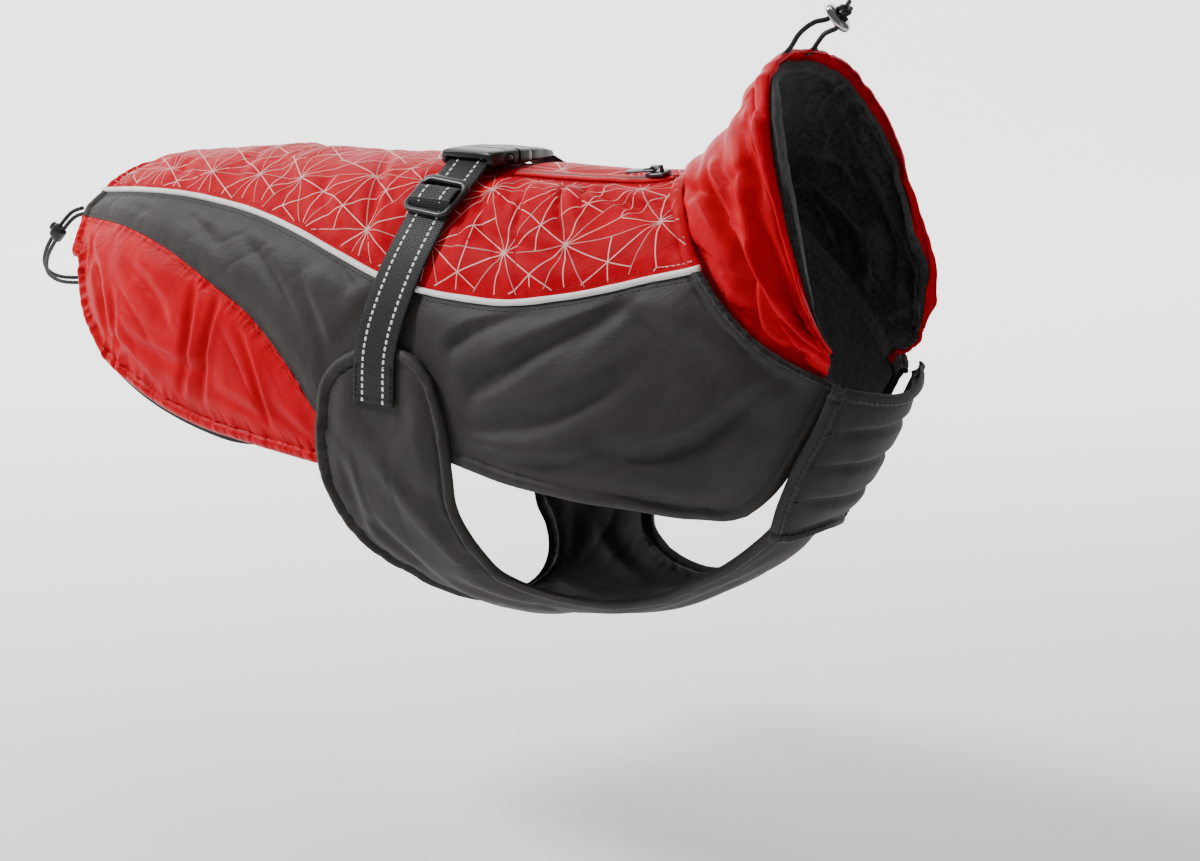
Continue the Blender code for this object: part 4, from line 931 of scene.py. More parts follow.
def box_tool(size, bevel, x, y, z, turn=Matrix.Identity(4)):
    """A rounded box to cut with, at a place in mm."""
    return settle(rounded_box("tool", size, bevel, PLASTIC), offset(x, y, z) @ turn)


def bore(thing, x, y, radius, sides):
    """A round hole along Z."""
    cut(thing, sweep("tool", [(x, y, z) for z in (-12, 0, 12)], circle(radius, sides), CHROME))


def smooth(thing):
    thing.data.shade_smooth()
    thing.data.set_sharp_from_angle(angle=math.radians(38))
    return thing


def offset(x, y, z):
    return Matrix.Translation(Vector((x, y, z)) * MM)


def settle(thing, matrix):
    """Put a piece modelled round its own centre in its place."""
    thing.data.transform(matrix)
    return thing


def frame_at(place, x, y, z):
    """A frame from three directions, at a place in mm."""
    matrix = Matrix((x, y, z)).transposed().to_4x4()
    matrix.translation = Vector(place) * MM
    return matrix


def surface_frame(place, lift, heading):
    """A frame on the body: X across the strap, Y along `heading`, Z outwards."""
    out = Vector(body.normal(place)).normalized()
    run = Vector(heading).normalized()
    run = (run - out * run.dot(out)).normalized()
    return frame_at(body.place(place, lift), run.cross(out), run, out)


# ---------------------------------------------------------------- cloth pieces

def webbing_rows(side):
    return np.array(WEBBING_PATH, float)[:, :2] * (1, side)


def make_lining():
    ends = (HIP_HEM[4], HIP_HEM[3], HIP_HEM[1], TAIL_CORNER) + TAIL_HEM[::-1]
    rear = across(np.array(ends, float) + (2.5, 0))
    hip = np.array(HIP_HEM[5:-2], float)
    hip[:, 1] += 0.8 + HIP_PEEK * (hip[:, 0] > -160)
    hem = np.array(HIP_HEM[-1:] + SIDE_HEM[1:], float) - (0, 1.4)
    lower = joined(rear[0], hip, hem, (162, 149), LINING_NECK[0])
    places = grid_on((rear, across(LINING_NECK), lower, lower * (1, -1)), 110, 120,
                     (False, False))
    panel = Panel(LINING_LIFT, LINING_WALL, puff=0.0, crumple=0.14, crinkle=0.1, seed=41)
    return shell("body_lining_cloth", [places], panel, FLEECE, "fleece", "body_lining", rim=0.3)


def make_back():
    edge = moved(fine(PIPING, 61), TUCK - PIPING_RADIUS)
    far = edge * (1, -1)
    rear = across(joined(edge[0], TAIL_HEM[::-1]))
    front = across(joined(edge[-1], NECK_EDGE[3::-1]))
    zip_line = ((ZIP_REAR - 4, ZIP_ANGLE), (ZIP_FRONT, ZIP_ANGLE))
    buckle = ((BUCKLE_X, 22), (BUCKLE_X, -20))
    pressed = ((zip_line, ZIP_TAPE_WIDTH / 2), (buckle, 14.0),
               (webbing_rows(1), PRESS_WEBBING), (webbing_rows(-1), PRESS_WEBBING))
    panel = Panel(SHELL_LIFT, SHELL_WALL, (rear, front), (edge, far), BACK_FOLDS, pressed,
                  crumple=0.6, crinkle=1.25, grain=68, pucker=0.85, seed=3)
    thing = shell("back_cloth", [grid_on((rear, front, edge, far), 205, 96)], panel, RED_PRINT,
                  "red_print", "back_panel", SHELL_SHOWN)
    middle = (-20, 0)
    sew("back_stitches", panel, [(inset(fine(rear), HEM_WIDTH, middle), 0.1, 6),
                                 (inset(edge, SEAM_ASIDE, middle), 0.12, 6),
                                 (inset(far, SEAM_ASIDE, middle), 0.12, 6)], RED_THREAD_HOLE_SHADE)
    return thing, panel, joined(fine(rear), far, fine(front)[::-1], edge[::-1])


def inside(places, outline):
    """Whether each place lies inside a closed outline."""
    x, y = places.T
    within = np.zeros(len(places), bool)
    for (ax, ay), (bx, by) in zip(outline, np.roll(outline, -1, 0)):
        if ay != by:
            crosses = (ay > y) != (by > y)
            within ^= crosses & (x < (bx - ax) * (y - ay) / (by - ay) + ax)
    return within


def lattice():
    """Lines of a plain lattice of triangles, each cut in six from its middle."""
    random = np.random.RandomState(PRINT_SEED)
    high = PRINT_PITCH * math.sqrt(3) / 2
    columns, rows = range(-8, 9), range(-4, 5)
    knots = {(i, j): np.array(((i + 0.5 * (j % 2)) * PRINT_PITCH - 24, j * high + 3))
             + random.uniform(-1, 1, 2) * PRINT_JITTER for i in columns for j in rows}
    lines = []
    for i in columns[:-1]:
        for j in rows[:-1]:
            a, b = knots[i, j], knots[i + 1, j]
            c, d = knots[i, j + 1], knots[i + 1, j + 1]
            for corners in (((a, b, c), (b, d, c)) if j % 2 == 0 else ((a, d, c), (a, b, d))):
                middle = sum(corners) / 3
                for start, end in zip(corners, corners[1:] + corners[:1]):
                    lines += [(middle, start), (start, end)]
                    if random.uniform() > PRINT_DROPPED:
                        lines.append((middle, (start + end) / 2))
    return lines


def make_print(panel, outline):
    """The lattice as thin lines on the back, clear of its edges and the zip."""
    parts, runs = [], []
    for start, end in lattice():
        count = max(3, int(np.linalg.norm(end - start) / PRINT_STEP) + 1)
        parts.append(np.linspace(start, end, count))
        runs += [unit(end - start)] * count
    flat, runs = np.concatenate(parts), np.array(runs)
    owner = np.repeat(np.arange(len(parts)), [len(part) for part in parts])
    places = flat / (1, BODY_DEGREE)
    good = inside(places, outline)
    border = body.point(fine(outline, 700))
    good[good] &= nearest(body.point(places[good]), border)[0] > PRINT_MARGIN
    good &= ((np.abs(flat[:, 1] - ZIP_ANGLE * BODY_DEGREE) >= ZIP_CLEAR)
             | (flat[:, 0] <= ZIP_REAR - 8))
    flat, runs, kept = flat[good], runs[good], np.flatnonzero(good)
    square = np.stack([-runs[:, 1], runs[:, 0]], -1) * PRINT_WIDTH / 2
    near, far = (flat + side * square for side in (-1, 1))
    verts = np.stack([panel.face(edge / (1, BODY_DEGREE))
                      + body.normal(edge / (1, BODY_DEGREE)) * lift
                      for edge, lift in ((near, -0.1), (far, -0.1), (far, PRINT_LIFT),
                                         (near, PRINT_LIFT))], 1)
    linked = np.concatenate([[False], (np.diff(kept) == 1) & (np.diff(owner[kept]) == 0),
                             [False]])
    faces = []
    for row in np.flatnonzero(linked) - 1:
        a, b = row * 4, row * 4 + 4
        faces += [(a + k, a + (k + 1) % 4, b + (k + 1) % 4, b + k) for k in range(4)]
        if not linked[row]:
            faces.append((a + 3, a + 2, a + 1, a))
        if not linked[row + 2]:
            faces.append((b, b + 1, b + 2, b + 3))
    thing = mesh_object("back_print", verts.reshape(-1, 3), faces, np.repeat(flat, 4, 0), PRINT)
    thing.data.shade_flat()
    return keep(thing)


def lower_edge():
    """The side panel's lower edge: the hip seam, the hem and the front, as one smooth line."""
    line = fine(HIP_SEAM + SIDE_HEM[1:] + SIDE_FRONT[1:], 121)
    return line, np.argmin(np.linalg.norm(line - HIP_SEAM[-1], axis=1))


def make_side(side, hand):
    flip = np.array((1, side))
    line, tip = lower_edge()
    upper = moved(fine(PIPING, 61), PIPING_RADIUS - TUCK)
    lower = moved(line, -HIP_TOUCH / 2)
    rear = joined(upper[0], (-212, 36), (-215, 40), lower[0])
    front = joined(upper[-1], NECK_EDGE[5:-1], lower[-1])
    edges = rear, front, upper, lower = [edge * flip for edge in (rear, front, upper, lower)]
    hems = (rear, lower[tip:], np.array(SIDE_FRONT, float) * flip, front)
    pressed = [(np.array(rows, float) * flip, reach) for rows, reach in (
        (WING_TOP, 4.0), (WING_FRONT[:4], 4.0), (((33, 86), (31, 104)), 30.0),
        (SIDE_FRONT, 10.0))] + [(webbing_rows(side), PRESS_WEBBING)]
    panel = Panel(SHELL_LIFT, SHELL_WALL, hems, (upper, lower[:tip + 1]), SIDE_FOLDS, pressed,
                  crumple=0.45, crinkle=0.55, grain=-24, pucker=0.45,
                  seed=11 if side > 0 else 12)
    thing = shell(f"side_{hand}_cloth", [grid_on(edges, 230, 40)], panel, SOFTSHELL, "softshell",
                  f"side_panel_{hand}", SHELL_SHOWN)
    lip = inset(fine(front, 220)[4:], 0.9, (60, 100 * side))
    fuzz = 1 + 0.16 * wander(lip[:, 0] * 3, lip[:, 1] * 2, 3.0, 91)
    keep(sweep(f"side_{hand}_lip", body.place(lip, SHELL_TOP + 0.1 + 0.3 * fuzz),
               oval(3.0, 3.8, 14, 2), FLEECE, body.normal(lip), fuzz[:, None]))
    middle = (60, 85 * side)
    sew(f"side_{hand}_stitches", panel, [
        (inset(upper, SEAM_ASIDE, middle), 0.12, 6),
        (inset(lower[tip + 3:-2], HEM_WIDTH, middle), 0.1, 3),
        (inset(front[:-1], HEM_WIDTH, middle), 0.1, 8),
        (moved(line[:tip + 1], -1.8) * flip, 0.12, 4)], DARK_THREAD)
    return thing


def make_hip(side, hand):
    flip = np.array((1, side))
    line, tip = lower_edge()
    upper = moved(line, HIP_TOUCH / 2)[:tip - 2]
    lower = fine(HIP_HEM, 61)[4:-2]
    bulge = 106.0 + 0.022 * (lower[:, 0] + 80) - 40 * (lower[:, 0] < -80)
    lower[:, 1] = np.maximum(lower[:, 1], bulge)
    lower = joined(upper[0] + (0.5, 2.0), lower, (1.5, 107.8)) * flip
    upper = upper * flip
    ends = [np.array((upper[end], lower[end])) for end in (0, -1)]
    under_wing = (np.array(((0, 90), (0, 104)), float) * flip, 12.0)
    panel = Panel(SHELL_LIFT, SHELL_WALL, (lower,), (upper,), HIP_FOLDS, (under_wing,),
                  crumple=0.6, crinkle=0.4, grain=40, pucker=1.6, pitch=3.6, groove=1.2,
                  seed=21 if side > 0 else 22)
    places = grid_on((*ends, upper, lower), 250, 40, (False, True))
    thing = shell(f"hip_{hand}_cloth", [places], panel, RED, "red_satin", f"hip_panel_{hand}",
                  SHELL_SHOWN)
    middle = (-105, 82 * side)
    sew(f"hip_{hand}_stitches", panel, [(inset(lower[1:-1], HEM_WIDTH, middle), 0.1, 5),
                                        (inset(upper[2:-3], 2.2, middle), 0.1, 3)], RED_THREAD_HOLE_SHADE)
    return thing


def make_piping(side, hand):
    line = fine(PIPING, 240) * (1, side)
    steady = wander(line[:, 0], line[:, 0] * 0, 9.0, 31 if side > 0 else 32) * 0.12
    girth = 1 + 0.05 * wander(line[:, 0], line[:, 0] * 0, 6.0, 33)
    rope = body.place(line, SHELL_LIFT + PIPING_RADIUS + 0.1 + steady)
    keep(sweep(f"piping_{hand}_tube", rope, oval(3.1, 3.0, 16, 2), PIPING_CLOTH,
               body.normal(line), girth[:, None]), "reflective", f"piping_{hand}")


def make_belly():
    """The padded strap: a band with two wings, welded to the narrow chest strap."""
    wing, join = fine(WING_FRONT, 71), fine(across(BELLY_JOIN), 81)
    front = joined(wing, join[1:-1], over(wing[::-1]))
    rear = fine(across(WING_REAR), len(front))
    lead = np.array(EDGE_STEPS) / WING_SPAN
    between = np.concatenate([lead, np.linspace(lead[-1], 1 - lead[-1], 30)[1:-1],
                              1 - lead[::-1]])
    top, share = path_through(WING_TOP, between), between[:, None, None]
    band = rear * (1 - share) + front * share
    fade = np.clip(1 - np.arange(len(front)) / 40.0, 0, 1)[:, None]
    band = (band + (top - band[:, 0])[:, None] * fade
            + (over(top) - band[:, -1])[:, None] * fade[::-1])
    s, t = np.meshgrid(np.linspace(0, 1, 56), np.linspace(0, 1, len(join)), indexing="ij")
    strap = coons((across(BELLY_JOIN), across(CHEST_TOP), CHEST_SIDE, over(CHEST_SIDE)), s, t)
    strap[0] = join
    edge = fine(joined(WING_REAR[::-1], WING_TOP[1:], WING_FRONT[1:], CHEST_SIDE[1:],
                       CHEST_TOP[1:]), 400)
    under_band = ((162, 160), (163, 170), (163, 180), (163, 190), (162, 200))
    pressed = [(((33, 70 * side), (33, 90 * side)), PRESS_WEBBING) for side in (1, -1)]
    panel = Panel(BELLY_LIFT, STRAP_WALL, (edge, over(edge)), (), BELLY_FOLDS,
                  pressed + [(under_band, 32.0)], crinkle=0.5, pucker=0.8, pitch=4.4, roll=1.9,
                  groove=2.3, seed=51)
    thing = shell("belly_cloth", [band, strap], panel, SOFTSHELL, "softshell", "belly_panel",
                  rim=0.7)
    line = inset(edge, HEM_WIDTH, (34, 120))
    sew("belly_stitches", panel, [(line, 0.1, 3), (over(line), 0.1, 3)], DARK_THREAD, 0.38)
    return thing


def make_band():
    edges = (BAND_SIDE, over(BAND_SIDE), across(BAND_TOP), across(BAND_LOW))
    grooves = [across(((along, angle), (along + 3, 162), (along + 4, 180)))
               for along, angle in BAND_GROOVES]
    panel = Panel(BAND_LIFT, STRAP_WALL, edges, grooves, puff=2.2, crumple=0.12, crinkle=0.1,
                  pucker=0.15, roll=1.5, groove=1.3, seam_reach=2.6, seed=61)
    thing = shell("chest_band_cloth", [grid_on(edges, 56, 52)], panel, HOOK, "hook_band",
                  "chest_band", rim=0.7)
    rows = [(groove, 0.1, 4) for groove in grooves]
    for edge in edges:
        rows += [(inset(fine(edge), HEM_WIDTH * share, (166, 180)), 0.1, trim)
                 for share, trim in ((0.8, 4), (0.5, 3))]
    sew("chest_band_stitches", panel, rows, DARK_THREAD, 0.36)
    return thing


def fleece_edge(angle):
    """Rise of the collar fleece's front edge."""
    reach = np.array(FLEECE_REACH, float)
    return np.interp(angle, reach[:, 0], reach[:, 1]) + COLLAR_RIM


def fleece_wall(places):
    """The fleece is rolled over at its edge."""
    return FLEECE_WALL + 2.6 * bell(fleece_edge(places[:, 1]) - places[:, 0], 4.5, 4)


def make_collar():
    rows = np.append(np.linspace(0, 77, 58), np.linspace(78, COLLAR_RIM, 17))
    layers = []
    for columns in (236, 180):
        rise, turn = np.meshgrid(rows, np.linspace(-1, 1, columns), indexing="ij")
        half = BASE_HALF_ANGLE + (RIM_HALF_ANGLE - BASE_HALF_ANGLE) * rise / COLLAR_RIM
        layers.append(np.stack([rise, turn * half], -1))
    outside, lined = layers
    past = lined[..., 0] - FLEECE_FROM
    wider = (fleece_edge(lined[..., 1]) - FLEECE_FROM) / (COLLAR_RIM - FLEECE_FROM)
    lined[..., 0] = np.where(past < 0, lined[..., 0], FLEECE_FROM + past * wider)
    panel = CollarPanel(0.0, SHELL_WALL)
    outer = shell("collar_cloth", [outside], panel, RED, "red_satin", "collar", rim=0.5)
    inner = shell("collar_fleece", [lined], CollarPanel(-FLEECE_WALL - 2 * GAP, FLEECE_WALL),
                  FLEECE, "fleece", "collar_lining", fleece_wall, 1.5)
    angle = np.linspace(-RIM_HALF_ANGLE - 2, RIM_HALF_ANGLE + 2, 300)
    rise = np.linspace(8, 84, 120)
    tunnel = np.stack([np.full(300, TUNNEL_FROM), angle], -1)
    base = np.stack([np.full(300, 13.5), angle * 1.02], -1)
    end = np.stack([rise, BASE_HALF_ANGLE - 5 - 6 * rise / COLLAR_RIM], -1)
    sew("collar_stitches", panel, [(tunnel, 0.08, 4), (base, 0.1, 6), (end, 0.1, 2),
                                   (end * (1, -1), 0.1, 2)], RED_THREAD_HOLE_SHADE)
    return outer, inner


# ---------------------------------------------------------------- belt

def make_webbing(side, hand):
    """Webbing from the wing up to its half of the buckle, over the slider's middle bar."""
    places, on_wing = webbing_rows(side), np.array(WEBBING_PATH)[:, 2] > 0
    lift = np.where(on_wing, WEBBING_ON_WING, WEBBING_ON_SHELL)
    half_buckle = (FEMALE_LENGTH + GAP + MALE_LENGTH) / 2
    end = (BUCKLE_X, BUCKLE_Y - side * (half_buckle - 4.5), BUCKLE_FOOT + WEBBING_ENTRY)
    both = np.hstack([joined(body.place(places, lift), end),
                      joined(body.normal(places), (0, -0.15 * side, 1))])
    centre, out = np.split(fine(both, 170), 2, 1)
    out = unit(out)
    centre = centre + out * WEBBING_WALL / 2
    if side > 0:
        away = np.linalg.norm(centre - body.place(SLIDER_AT, WEBBING_ON_SHELL), axis=1)
        rise = (SLIDER_SIZE[2] + WEBBING_WALL + 0.5) * (1 - smooth_step(away, 2.6, 9.5))
        centre = centre + out * rise[:, None]
    thing = sweep(f"webbing_{hand}_strap", centre,
                  oval(WEBBING_WIDTH, WEBBING_WALL + 0.35, 44, 5), WEBBING, out)
    keep(thing, "webbing", f"webbing_{hand}")
    aside = unit(np.cross(np.gradient(centre, axis=0), out))
    face = centre + out * (WEBBING_WALL / 2 + 0.17)
    bars(f"webbing_{hand}_ticks", [evenly(face + aside * shift, out, TICK_PITCH)
                                   for shift in (-TICK_ASIDE, TICK_ASIDE)],
         TICK_LENGTH / 2, (0.72, 0.2), TICK)
    start, finish, wide = TACK
    run = unit(centre[4] - centre[0])
    corners = [face[0] + run * a + aside[0] * b for a, b in
               ((start, -wide), (start, wide), (finish, wide), (finish, -wide), (start, -wide))]
    rows = []
    for a, b in zip(corners[:-1], corners[1:]):
        line = np.linspace(a, b, 30)
        at = np.linalg.norm(line[:, None] - centre, axis=2).argmin(1)
        rise = ((centre[at] - line) * out[at]).sum(1) + WEBBING_WALL / 2 + 0.2
        rows.append(evenly(line + out[at] * rise[:, None], out[at], 2.8))
    bars(f"webbing_{hand}_tack", rows, 1.05, 0.24, DARK_THREAD)


def make_slider():
    """Three-bar adjuster: a heavy lower bar, rounded rails, a thin upper bar."""
    width, length, height = SLIDER_SIZE
    wide, long = width / 2 - SLIDER_RAIL, length / 2 - SLIDER_RAIL
    turn, path = np.linspace(0, math.pi / 2, 9), []
    for quarter, (x, y) in enumerate(((1, 1), (-1, 1), (-1, -1), (1, -1))):
        path += [(x * (wide - SLIDER_CORNER) + SLIDER_CORNER * math.cos(a),
                  y * (long - SLIDER_CORNER) + SLIDER_CORNER * math.sin(a),
                  0) for a in turn + quarter * math.pi / 2]
    path = np.array(path)
    path[:, 2] -= 0.5 * (path[:, 0] / wide) ** 2
    girth = (1 + 0.22 * smooth_step(path[:, 1], long - 4, long - 0.5)
             - 0.2 * smooth_step(-path[:, 1], long - 4, long - 0.5))
    thing = sweep("strap_slider_frame", path, oval(2 * SLIDER_RAIL, height + 0.4, 18, 2.6),
                  PLASTIC, (0, 0, 1), girth[:, None], closed=True)
    middle = [(x, 0, -0.5 * (x / wide) ** 2 - 0.3) for x in np.linspace(-wide, wide, 12)]
    cut(thing, sweep("tool", middle, oval(SLIDER_BAR, 2.4, 16, 2.6), PLASTIC, (0, 0, 1)),
        "UNION")
    lift = WEBBING_ON_SHELL + WEBBING_WALL + GAP + height / 2
    settle(smooth(thing), surface_frame(SLIDER_AT, lift, SLIDER_HEADING))
    keep(thing, "plastic", "strap_slider")


def make_buckle():
    """Side-release buckle, clicked together: the female half is on the right."""
    middle = BUCKLE_FOOT + BUCKLE_HEIGHT / 2
    near = BUCKLE_Y - (FEMALE_LENGTH + GAP + MALE_LENGTH) / 2
    join, half, inner = near + FEMALE_LENGTH, BUCKLE_WIDTH / 2, WEBBING_WIDTH + 1.2

    def rings(start, *table):
        """Rows of y from `start`, height, narrowing, half height and power."""
        return [(BUCKLE_X, start + y, middle + z, half - less, high, power)
                for y, z, less, high, power in table]

    female = loft("buckle_female_shell", rings(
        near, (0, 0, 1.4, 2.7, 4), (0.5, 0, 0.6, 3.3, 5), (1.6, 0, 0.1, 3.8, 7),
        (9, 0.15, 0, 4.1, 7), (19.5, 0.2, 0.1, 4.2, 6), (19.8, 0.2, 0.9, 3.5, 6),
        (20.8, 0.2, 0.9, 3.5, 6), (21.1, 0.2, 0.1, 4.2, 6), (27, 0.1, 0.2, 4.0, 6),
        (30.2, 0, 0.6, 3.8, 5), (31, 0, 1.3, 3.1, 4)), PLASTIC)
    tools = [box_tool((inner, 20.0, 5.6), 0.7, BUCKLE_X, near - 0.5, middle - 2.4),
             box_tool((inner, 26.0, 8.0), 0.7, BUCKLE_X, near - 4.0, middle + 5.3,
                      Matrix.Rotation(math.radians(24), 4, "X")),
             box_tool((inner + 2, 2.2, 2.0), 0.7, BUCKLE_X, near + 13.4, middle + 4.6)]
    tools += [loft("tool", [(BUCKLE_X + end * (half + 0.6), near + y, middle, 3.9, z, 3)
                            for y, z in ((8.6, 0.3), (9.2, 1.5), (10.7, 2.3), (12.7, 2.5),
                                         (14.8, 2.3), (16.0, 1.5), (16.4, 0.3))], PLASTIC, 24)
              for end in (-1, 1)]
    for tool in tools:
        cut(female, tool)
    for end in (-1, 1):
        cut(female, loft("tool", [
            (BUCKLE_X + end * (half - less), near + y, middle, wide, high, 3)
            for less, y, wide, high in ((4.2, 7.6, 1.6, 1.4), (2.6, 9.6, 2.2, 1.9),
                                        (2.0, 13.0, 2.3, 2.0), (2.8, 17.4, 2.1, 1.9))],
            PLASTIC, 20), "UNION")
    keep(smooth(female), "plastic", "buckle_female")
    male = loft("buckle_male_shell", rings(
        join, (0.4, 0, 2.6, 2.8, 5), (1.2, 0, 1.7, 3.4, 6), (6, 0, 1.9, 3.4, 6),
        (7, 0, 2.2, 3.0, 6), (12, -0.2, 2.6, 2.9, 6), (18.4, -0.8, 3.4, 2.1, 5),
        (20.2, -1.0, 4.4, 1.3, 4)), PLASTIC)
    for y, wide, long in ((14.6, WEBBING_WIDTH - 1.4, 3.6), (4.2, 13.0, 3.0)):
        cut(male, box_tool((wide, long, 14), 0.9, BUCKLE_X, join + y, middle))
    keep(smooth(male), "plastic", "buckle_male")


# ---------------------------------------------------------------- lead opening

def zip_line(start, finish, count, aside=0.0):
    """Places along the zip, `aside` mm beside it."""
    along = np.linspace(start, finish, count)
    return np.stack([along, np.full(count, ZIP_ANGLE + math.degrees(aside / 100.0))], -1)


def make_zip(back_panel):
    for number, aside in enumerate((-WELT_ASIDE, WELT_ASIDE)):
        line = zip_line(ZIP_REAR, ZIP_FRONT, 130, aside)
        along = line[:, 0]
        wave = 0.14 * wander(along, along * 0, 5.0, 81 + number)
        ends = np.clip(np.minimum(along - ZIP_REAR, ZIP_FRONT - along) / 3.0, 0.25, 1) ** 0.5
        keep(sweep("zip_welt_" + "ab"[number], body.place(line, SHELL_TOP + 0.75 + wave),
                   oval(WELT_WIDTH, 2.0, 20, 2.6), RED, body.normal(line), ends[:, None]),
             "red_satin", "zip_tape")
    rows = [(zip_line(ZIP_REAR, ZIP_FRONT, 130, aside)[2:-2], 0.08, 1)
            for aside in (-WELT_EDGE, WELT_EDGE)]
    end = np.stack([np.full(9, ZIP_REAR - 1.6), np.linspace(ZIP_ANGLE - 3, ZIP_ANGLE + 3, 9)], -1)
    sew("zip_stitches", back_panel, rows + [(end, 0.08, 0)], RED_THREAD_HOLE_SHADE)
    line = zip_line(ZIP_REAR + 1.5, ZIP_FRONT - 1, 200)
    centres, runs, outs = evenly(body.place(line, SHELL_TOP + 1.15), body.normal(line), 1.3)
    bars("zip_coil", [(centres, np.cross(outs, runs), outs)], 1.25, (0.42, 0.5), COIL)

    long, wide, high = ZIP_BODY
    base = SHELL_TOP + 3 * GAP + ZIP_TAPE_WALL + GAP
    place = surface_frame((ZIP_BODY_AT, ZIP_ANGLE), base + high / 2, (0, 1, 0))
    slider = rounded_box("zip_slider_body", ZIP_BODY, 0.8, GUNMETAL, 4)
    for end in (-1, 1):
        turn = Matrix.Rotation(math.radians(-16 * end), 4, "Z")
        cut(slider, box_tool((8, 4, 6), 0.8, -long / 2 - 0.6, end * (wide / 2 + 1.3), 0, turn))
    crown = rounded_box("tool", ZIP_CROWN, 0.9, GUNMETAL, 4)
    cut(slider, settle(crown, offset(0, 0, (high + ZIP_CROWN[2]) / 2 - 0.5)), "UNION")
    cut(slider, box_tool((ZIP_TUNNEL[0], ZIP_CROWN[1] * 3, ZIP_TUNNEL[1]), 0.6, 0, 0,
                         (high + ZIP_TUNNEL[1]) / 2))
    keep(settle(smooth(slider), place), "gunmetal", "zip_slider")

    _, width, thick = ZIP_PULL
    sections = np.array(((0.65, 0.42, 0.5), (0.2, 0.86, 0.92), (-2.6, 0.9, 1.0), (-7.0, 0.78, 0.9),
                         (-10.0, 0.9, 0.95), (-14.2, 1.0, 1.0), (-15.8, 0.88, 0.9),
                         (-16.35, 0.5, 0.5)))
    pull = sweep("zip_pull_tab", sections[:, :1] * (1, 0, 0), oval(width, thick, 28, 4),
                 GUNMETAL, (0, 0, 1), sections[:, 1:])
    cut(pull, box_tool((*ZIP_WINDOW, thick * 3), 0.9, -thick / 2 - ZIP_WINDOW[0] / 2, 0, 0))
    settle(smooth(pull), place @ offset(-0.9, 0, high / 2 + GAP + thick / 2))
    keep(pull, "gunmetal", "zip_pull", rides="zip_pull")


# ---------------------------------------------------------------- cords

def make_collar_cord():
    """Two ends of the drawcord through one oval stopper, tied off together in a knot."""
    run = Vector(CORD_RUN).normalized()
    up = Vector((-run.z, 0, run.x))
    place = frame_at(STOPPER_AT, up, run.cross(up), run)
    long, wide, high = STOPPER_SIZE
    stopper = loft("collar_stopper_bead", [
        (0, wide / 2 * math.sin(a), 0, max(0.5, long / 2 * math.cos(a) ** 0.6),
         max(0.4, high / 2 * math.cos(a) ** 0.6), 2.6)
        for a in np.linspace(-1.45, 1.45, 19)], CHROME)
    lift = SHELL_WALL + 2 * GAP + CORD_RADIUS - 1.6
    found, turn = [], np.arange(28)[:, None] * 2 * math.pi / 28
    for (side, hand), eyelet, rows in zip(HANDS, (EYELET_RIGHT, EYELET_LEFT),
                                          (CORD_RIGHT, CORD_LEFT)):
        aside = side * STOPPER_HOLE
        hole = Vector(STOPPER_AT) + up * aside
        straight = [hole + run * CORD_LEAD * step for step in (-1, 0, 1)]
        line = fine(joined(neck.place(eyelet, lift), rows, straight), 60)
        cord = sweep(f"collar_cord_{hand}_line", line, circle(CORD_SHOWN, 14), CORD)
        found.append((keep(cord, "cord", f"collar_cord_{hand}"), line))
        bore(stopper, aside, 0, CORD_RADIUS + 0.5, 20)
        out = neck.normal(eyelet)
        a = unit(np.cross(out, (0, 1, 0)))
        ring = 2.5 * (np.cos(turn) * a + np.sin(turn) * np.cross(out, a))
        keep(sweep(f"collar_eyelet_{hand}", neck.place(eyelet, SHELL_WALL + 0.55) + ring,
                   circle(0.75, 10), GUNMETAL, out, closed=True))
    keep(settle(smooth(stopper), place), "gunmetal", "collar_stopper")
    knot_at = np.array(Vector(STOPPER_AT) + run * (CORD_LEAD + KNOT_RADIUS - 2.4))
    turn = np.linspace(0, 2 * math.pi, 120, endpoint=False)
    trefoil = np.stack([np.sin(turn) + 2 * np.sin(2 * turn), np.cos(turn) - 2 * np.cos(2 * turn),
                        -np.sin(3 * turn) * 1.1], -1) * (0.78, 0.78, 0.95)
    tied = trefoil @ np.array((up, run.cross(up), run)) + knot_at
    knot = sweep("collar_knot_turns", tied, circle(CORD_RADIUS * 0.92, 12), CORD, closed=True)
    keep(knot, "cord", "collar_knot")
    taper = np.array([1, 1, 1, 1, 1, 1.02, 1.0, 0.9, 0.55])[:, None]
    for number, (lean, reach) in enumerate(((1.4, 4.2), (-1.0, 3.6))):
        along = np.array(run) * reach + np.array(up) * lean + np.array((0, 0.8, 0)) * lean
        line = knot_at + np.array(up) * lean * 0.6 + np.linspace(0.2, 1, 9)[:, None] * along
        keep(sweep("collar_tip_" + "ab"[number], line, circle(CORD_RADIUS * 0.9, 12), TIP,
                   scale=taper))
    return found, knot


def elastic_line(shift, count=150):
    half = np.array(ELASTIC, float)
    whole = joined(half, (half * (1, -1, 1))[-2::-1])
    return fine(whole, count) + np.array(ELASTIC_SPREAD) * shift


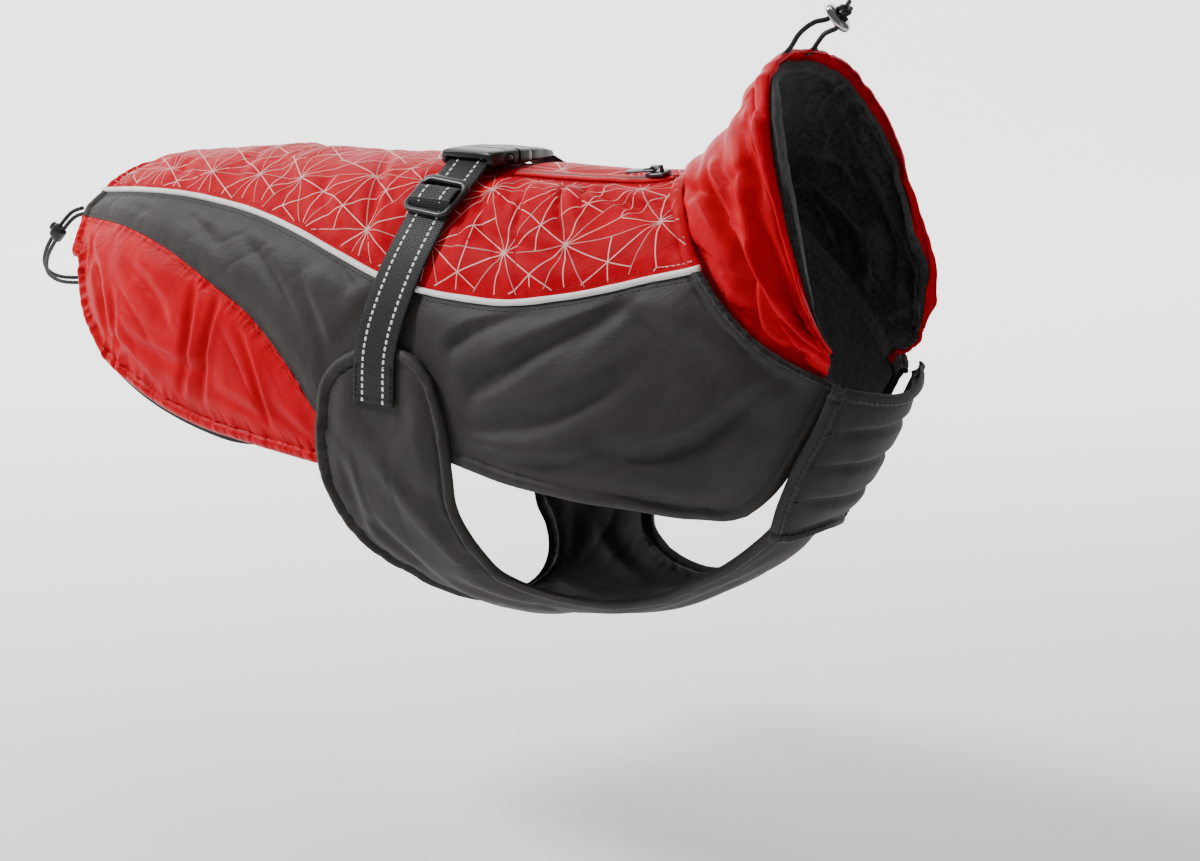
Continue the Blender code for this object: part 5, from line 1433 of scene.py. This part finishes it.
def make_elastic():
    found = []
    for level, aside in (("upper", ELASTIC_PITCH / 2), ("lower", -ELASTIC_PITCH / 2)):
        line = elastic_line(aside)
        cord = sweep(f"rump_elastic_{level}_line", line, circle(ELASTIC_RADIUS), CORD)
        found.append((keep(cord, "cord", f"rump_elastic_{level}"), line))
    line = elastic_line(0.0, 36)
    at = int(LOCK_AT * len(line))
    run = Vector(line[at + 1] - line[at - 1]).normalized()
    side = Vector(ELASTIC_SPREAD).cross(run).normalized()
    place = frame_at(line[at], run, side, run.cross(side))
    lock = rounded_box("elastic_lock_body", LOCK_SIZE, 1.7, PLASTIC, 4)
    for aside in (-ELASTIC_PITCH / 2, ELASTIC_PITCH / 2):
        cut(lock, sweep("tool", [(x, 0, aside) for x in (-12, 0, 12)],
                        circle(ELASTIC_RADIUS + 0.25, 16), PLASTIC))
    keep(settle(smooth(lock), place), "plastic", "elastic_lock")
    button = rounded_box("elastic_lock_button", (5.0, 3.4, 3.0), 1.2, PLASTIC, 4)
    keep(smooth(settle(button, place @ offset(0, 0, LOCK_SIZE[2] / 2 + 0.9))))
    return found


# ---------------------------------------------------------------- stage, light and camera

def make_stage():
    """Pale floor that curves up into a backdrop behind the coat, and glows as painted light:
    faintly near the coat, brightly on the backdrop behind, lighting the coat too.
    """
    end = SWEEP_START + SWEEP_RADIUS
    profile = [(-2.2, FLOOR)] + [(SWEEP_START + SWEEP_RADIUS * math.sin(a),
                                  FLOOR + SWEEP_RADIUS * (1 - math.cos(a)))
                                 for a in np.linspace(0, math.pi / 2, 16)] + [(end, 3.4)]
    away = Vector(AWAY).normalized()
    aside = Vector((away.y, -away.x, 0.0))
    mesh = bpy.data.meshes.new("backdrop")
    mesh.from_pydata([away * run + aside * wide + Vector((0, 0, z))
                      for run, z in profile for wide in (-5.0, 5.0)], [],
                     [(i, i + 1, i + 3, i + 2) for i in range(0, 2 * len(profile) - 2, 2)])
    mesh.shade_smooth()
    glowing_finish = Finish("glowing backdrop", (0.86, 0.86, 0.86), 0.9)
    # painted light: the floor and backdrop glow on their own, more strongly the further they lie
    # behind the coat
    glowing_finish.inputs["Emission Color"].default_value = (1, 1, 1, 1)
    where = glowing_finish.add("ShaderNodeTexCoord", (), "Object")
    turned = glowing_finish.add("ShaderNodeVectorRotate", (("Vector", where),), rotation_type="Z_AXIS",
                      Angle=-math.atan2(away.y, away.x))
    depth = glowing_finish.add("ShaderNodeSeparateXYZ", ((0, turned),))
    glowing_finish.link(glowing_finish.spread(depth, GLOW_NEAR, GLOW_FAR, 0.0, 1.6), glowing_finish.inputs["Emission Strength"])
    add_object("backdrop", mesh, glowing_finish.material)


def make_lights():
    world = bpy.data.worlds.new("studio")
    bpy.context.scene.world = world
    world.use_nodes = True
    sky = world.node_tree.nodes["Background"].inputs
    sky["Color"].default_value, sky["Strength"].default_value = (1, 1, 1, 1), SKY
    for name, place, size, power in LAMPS:
        lamp = bpy.data.lights.new(name, "AREA")
        lamp.shape, lamp.energy = "RECTANGLE", power
        lamp.size, lamp.size_y = size
        thing = bpy.data.objects.new(name, lamp)
        bpy.context.scene.collection.objects.link(thing)
        thing.location = place
        aim = Vector(LAMPS_AIM) - Vector(place)
        thing.rotation_euler = aim.to_track_quat("-Z", "Y").to_euler()


def make_camera():
    view = bpy.data.cameras.new("photo")
    view.lens, view.sensor_width = LENS, 36.0
    view.clip_start, view.clip_end = 0.05, 30.0
    thing = bpy.data.objects.new("photo", view)
    bpy.context.scene.collection.objects.link(thing)
    right, back = Vector(CAMERA_RIGHT).normalized(), Vector(CAMERA_BACK).normalized()
    thing.matrix_world = frame_at(CAMERA_AT, right, back.cross(right), back)
    bpy.context.scene.camera = thing


# ---------------------------------------------------------------- the coat


lining = make_lining()
back, back_panel, back_outline = make_back()
pattern = make_print(back_panel, back_outline)
sides = [make_side(*hand) for hand in HANDS]
hips = [make_hip(*hand) for hand in HANDS]
for hand in HANDS:
    make_piping(*hand)
belly = make_belly()
band = make_band()
collar, collar_lining = make_collar()
for hand in HANDS:
    make_webbing(*hand)
make_slider()
make_buckle()
make_zip(back_panel)
collar_cords, collar_knot = make_collar_cord()
rump_cords = make_elastic()

make_stage()
make_lights()
make_camera()
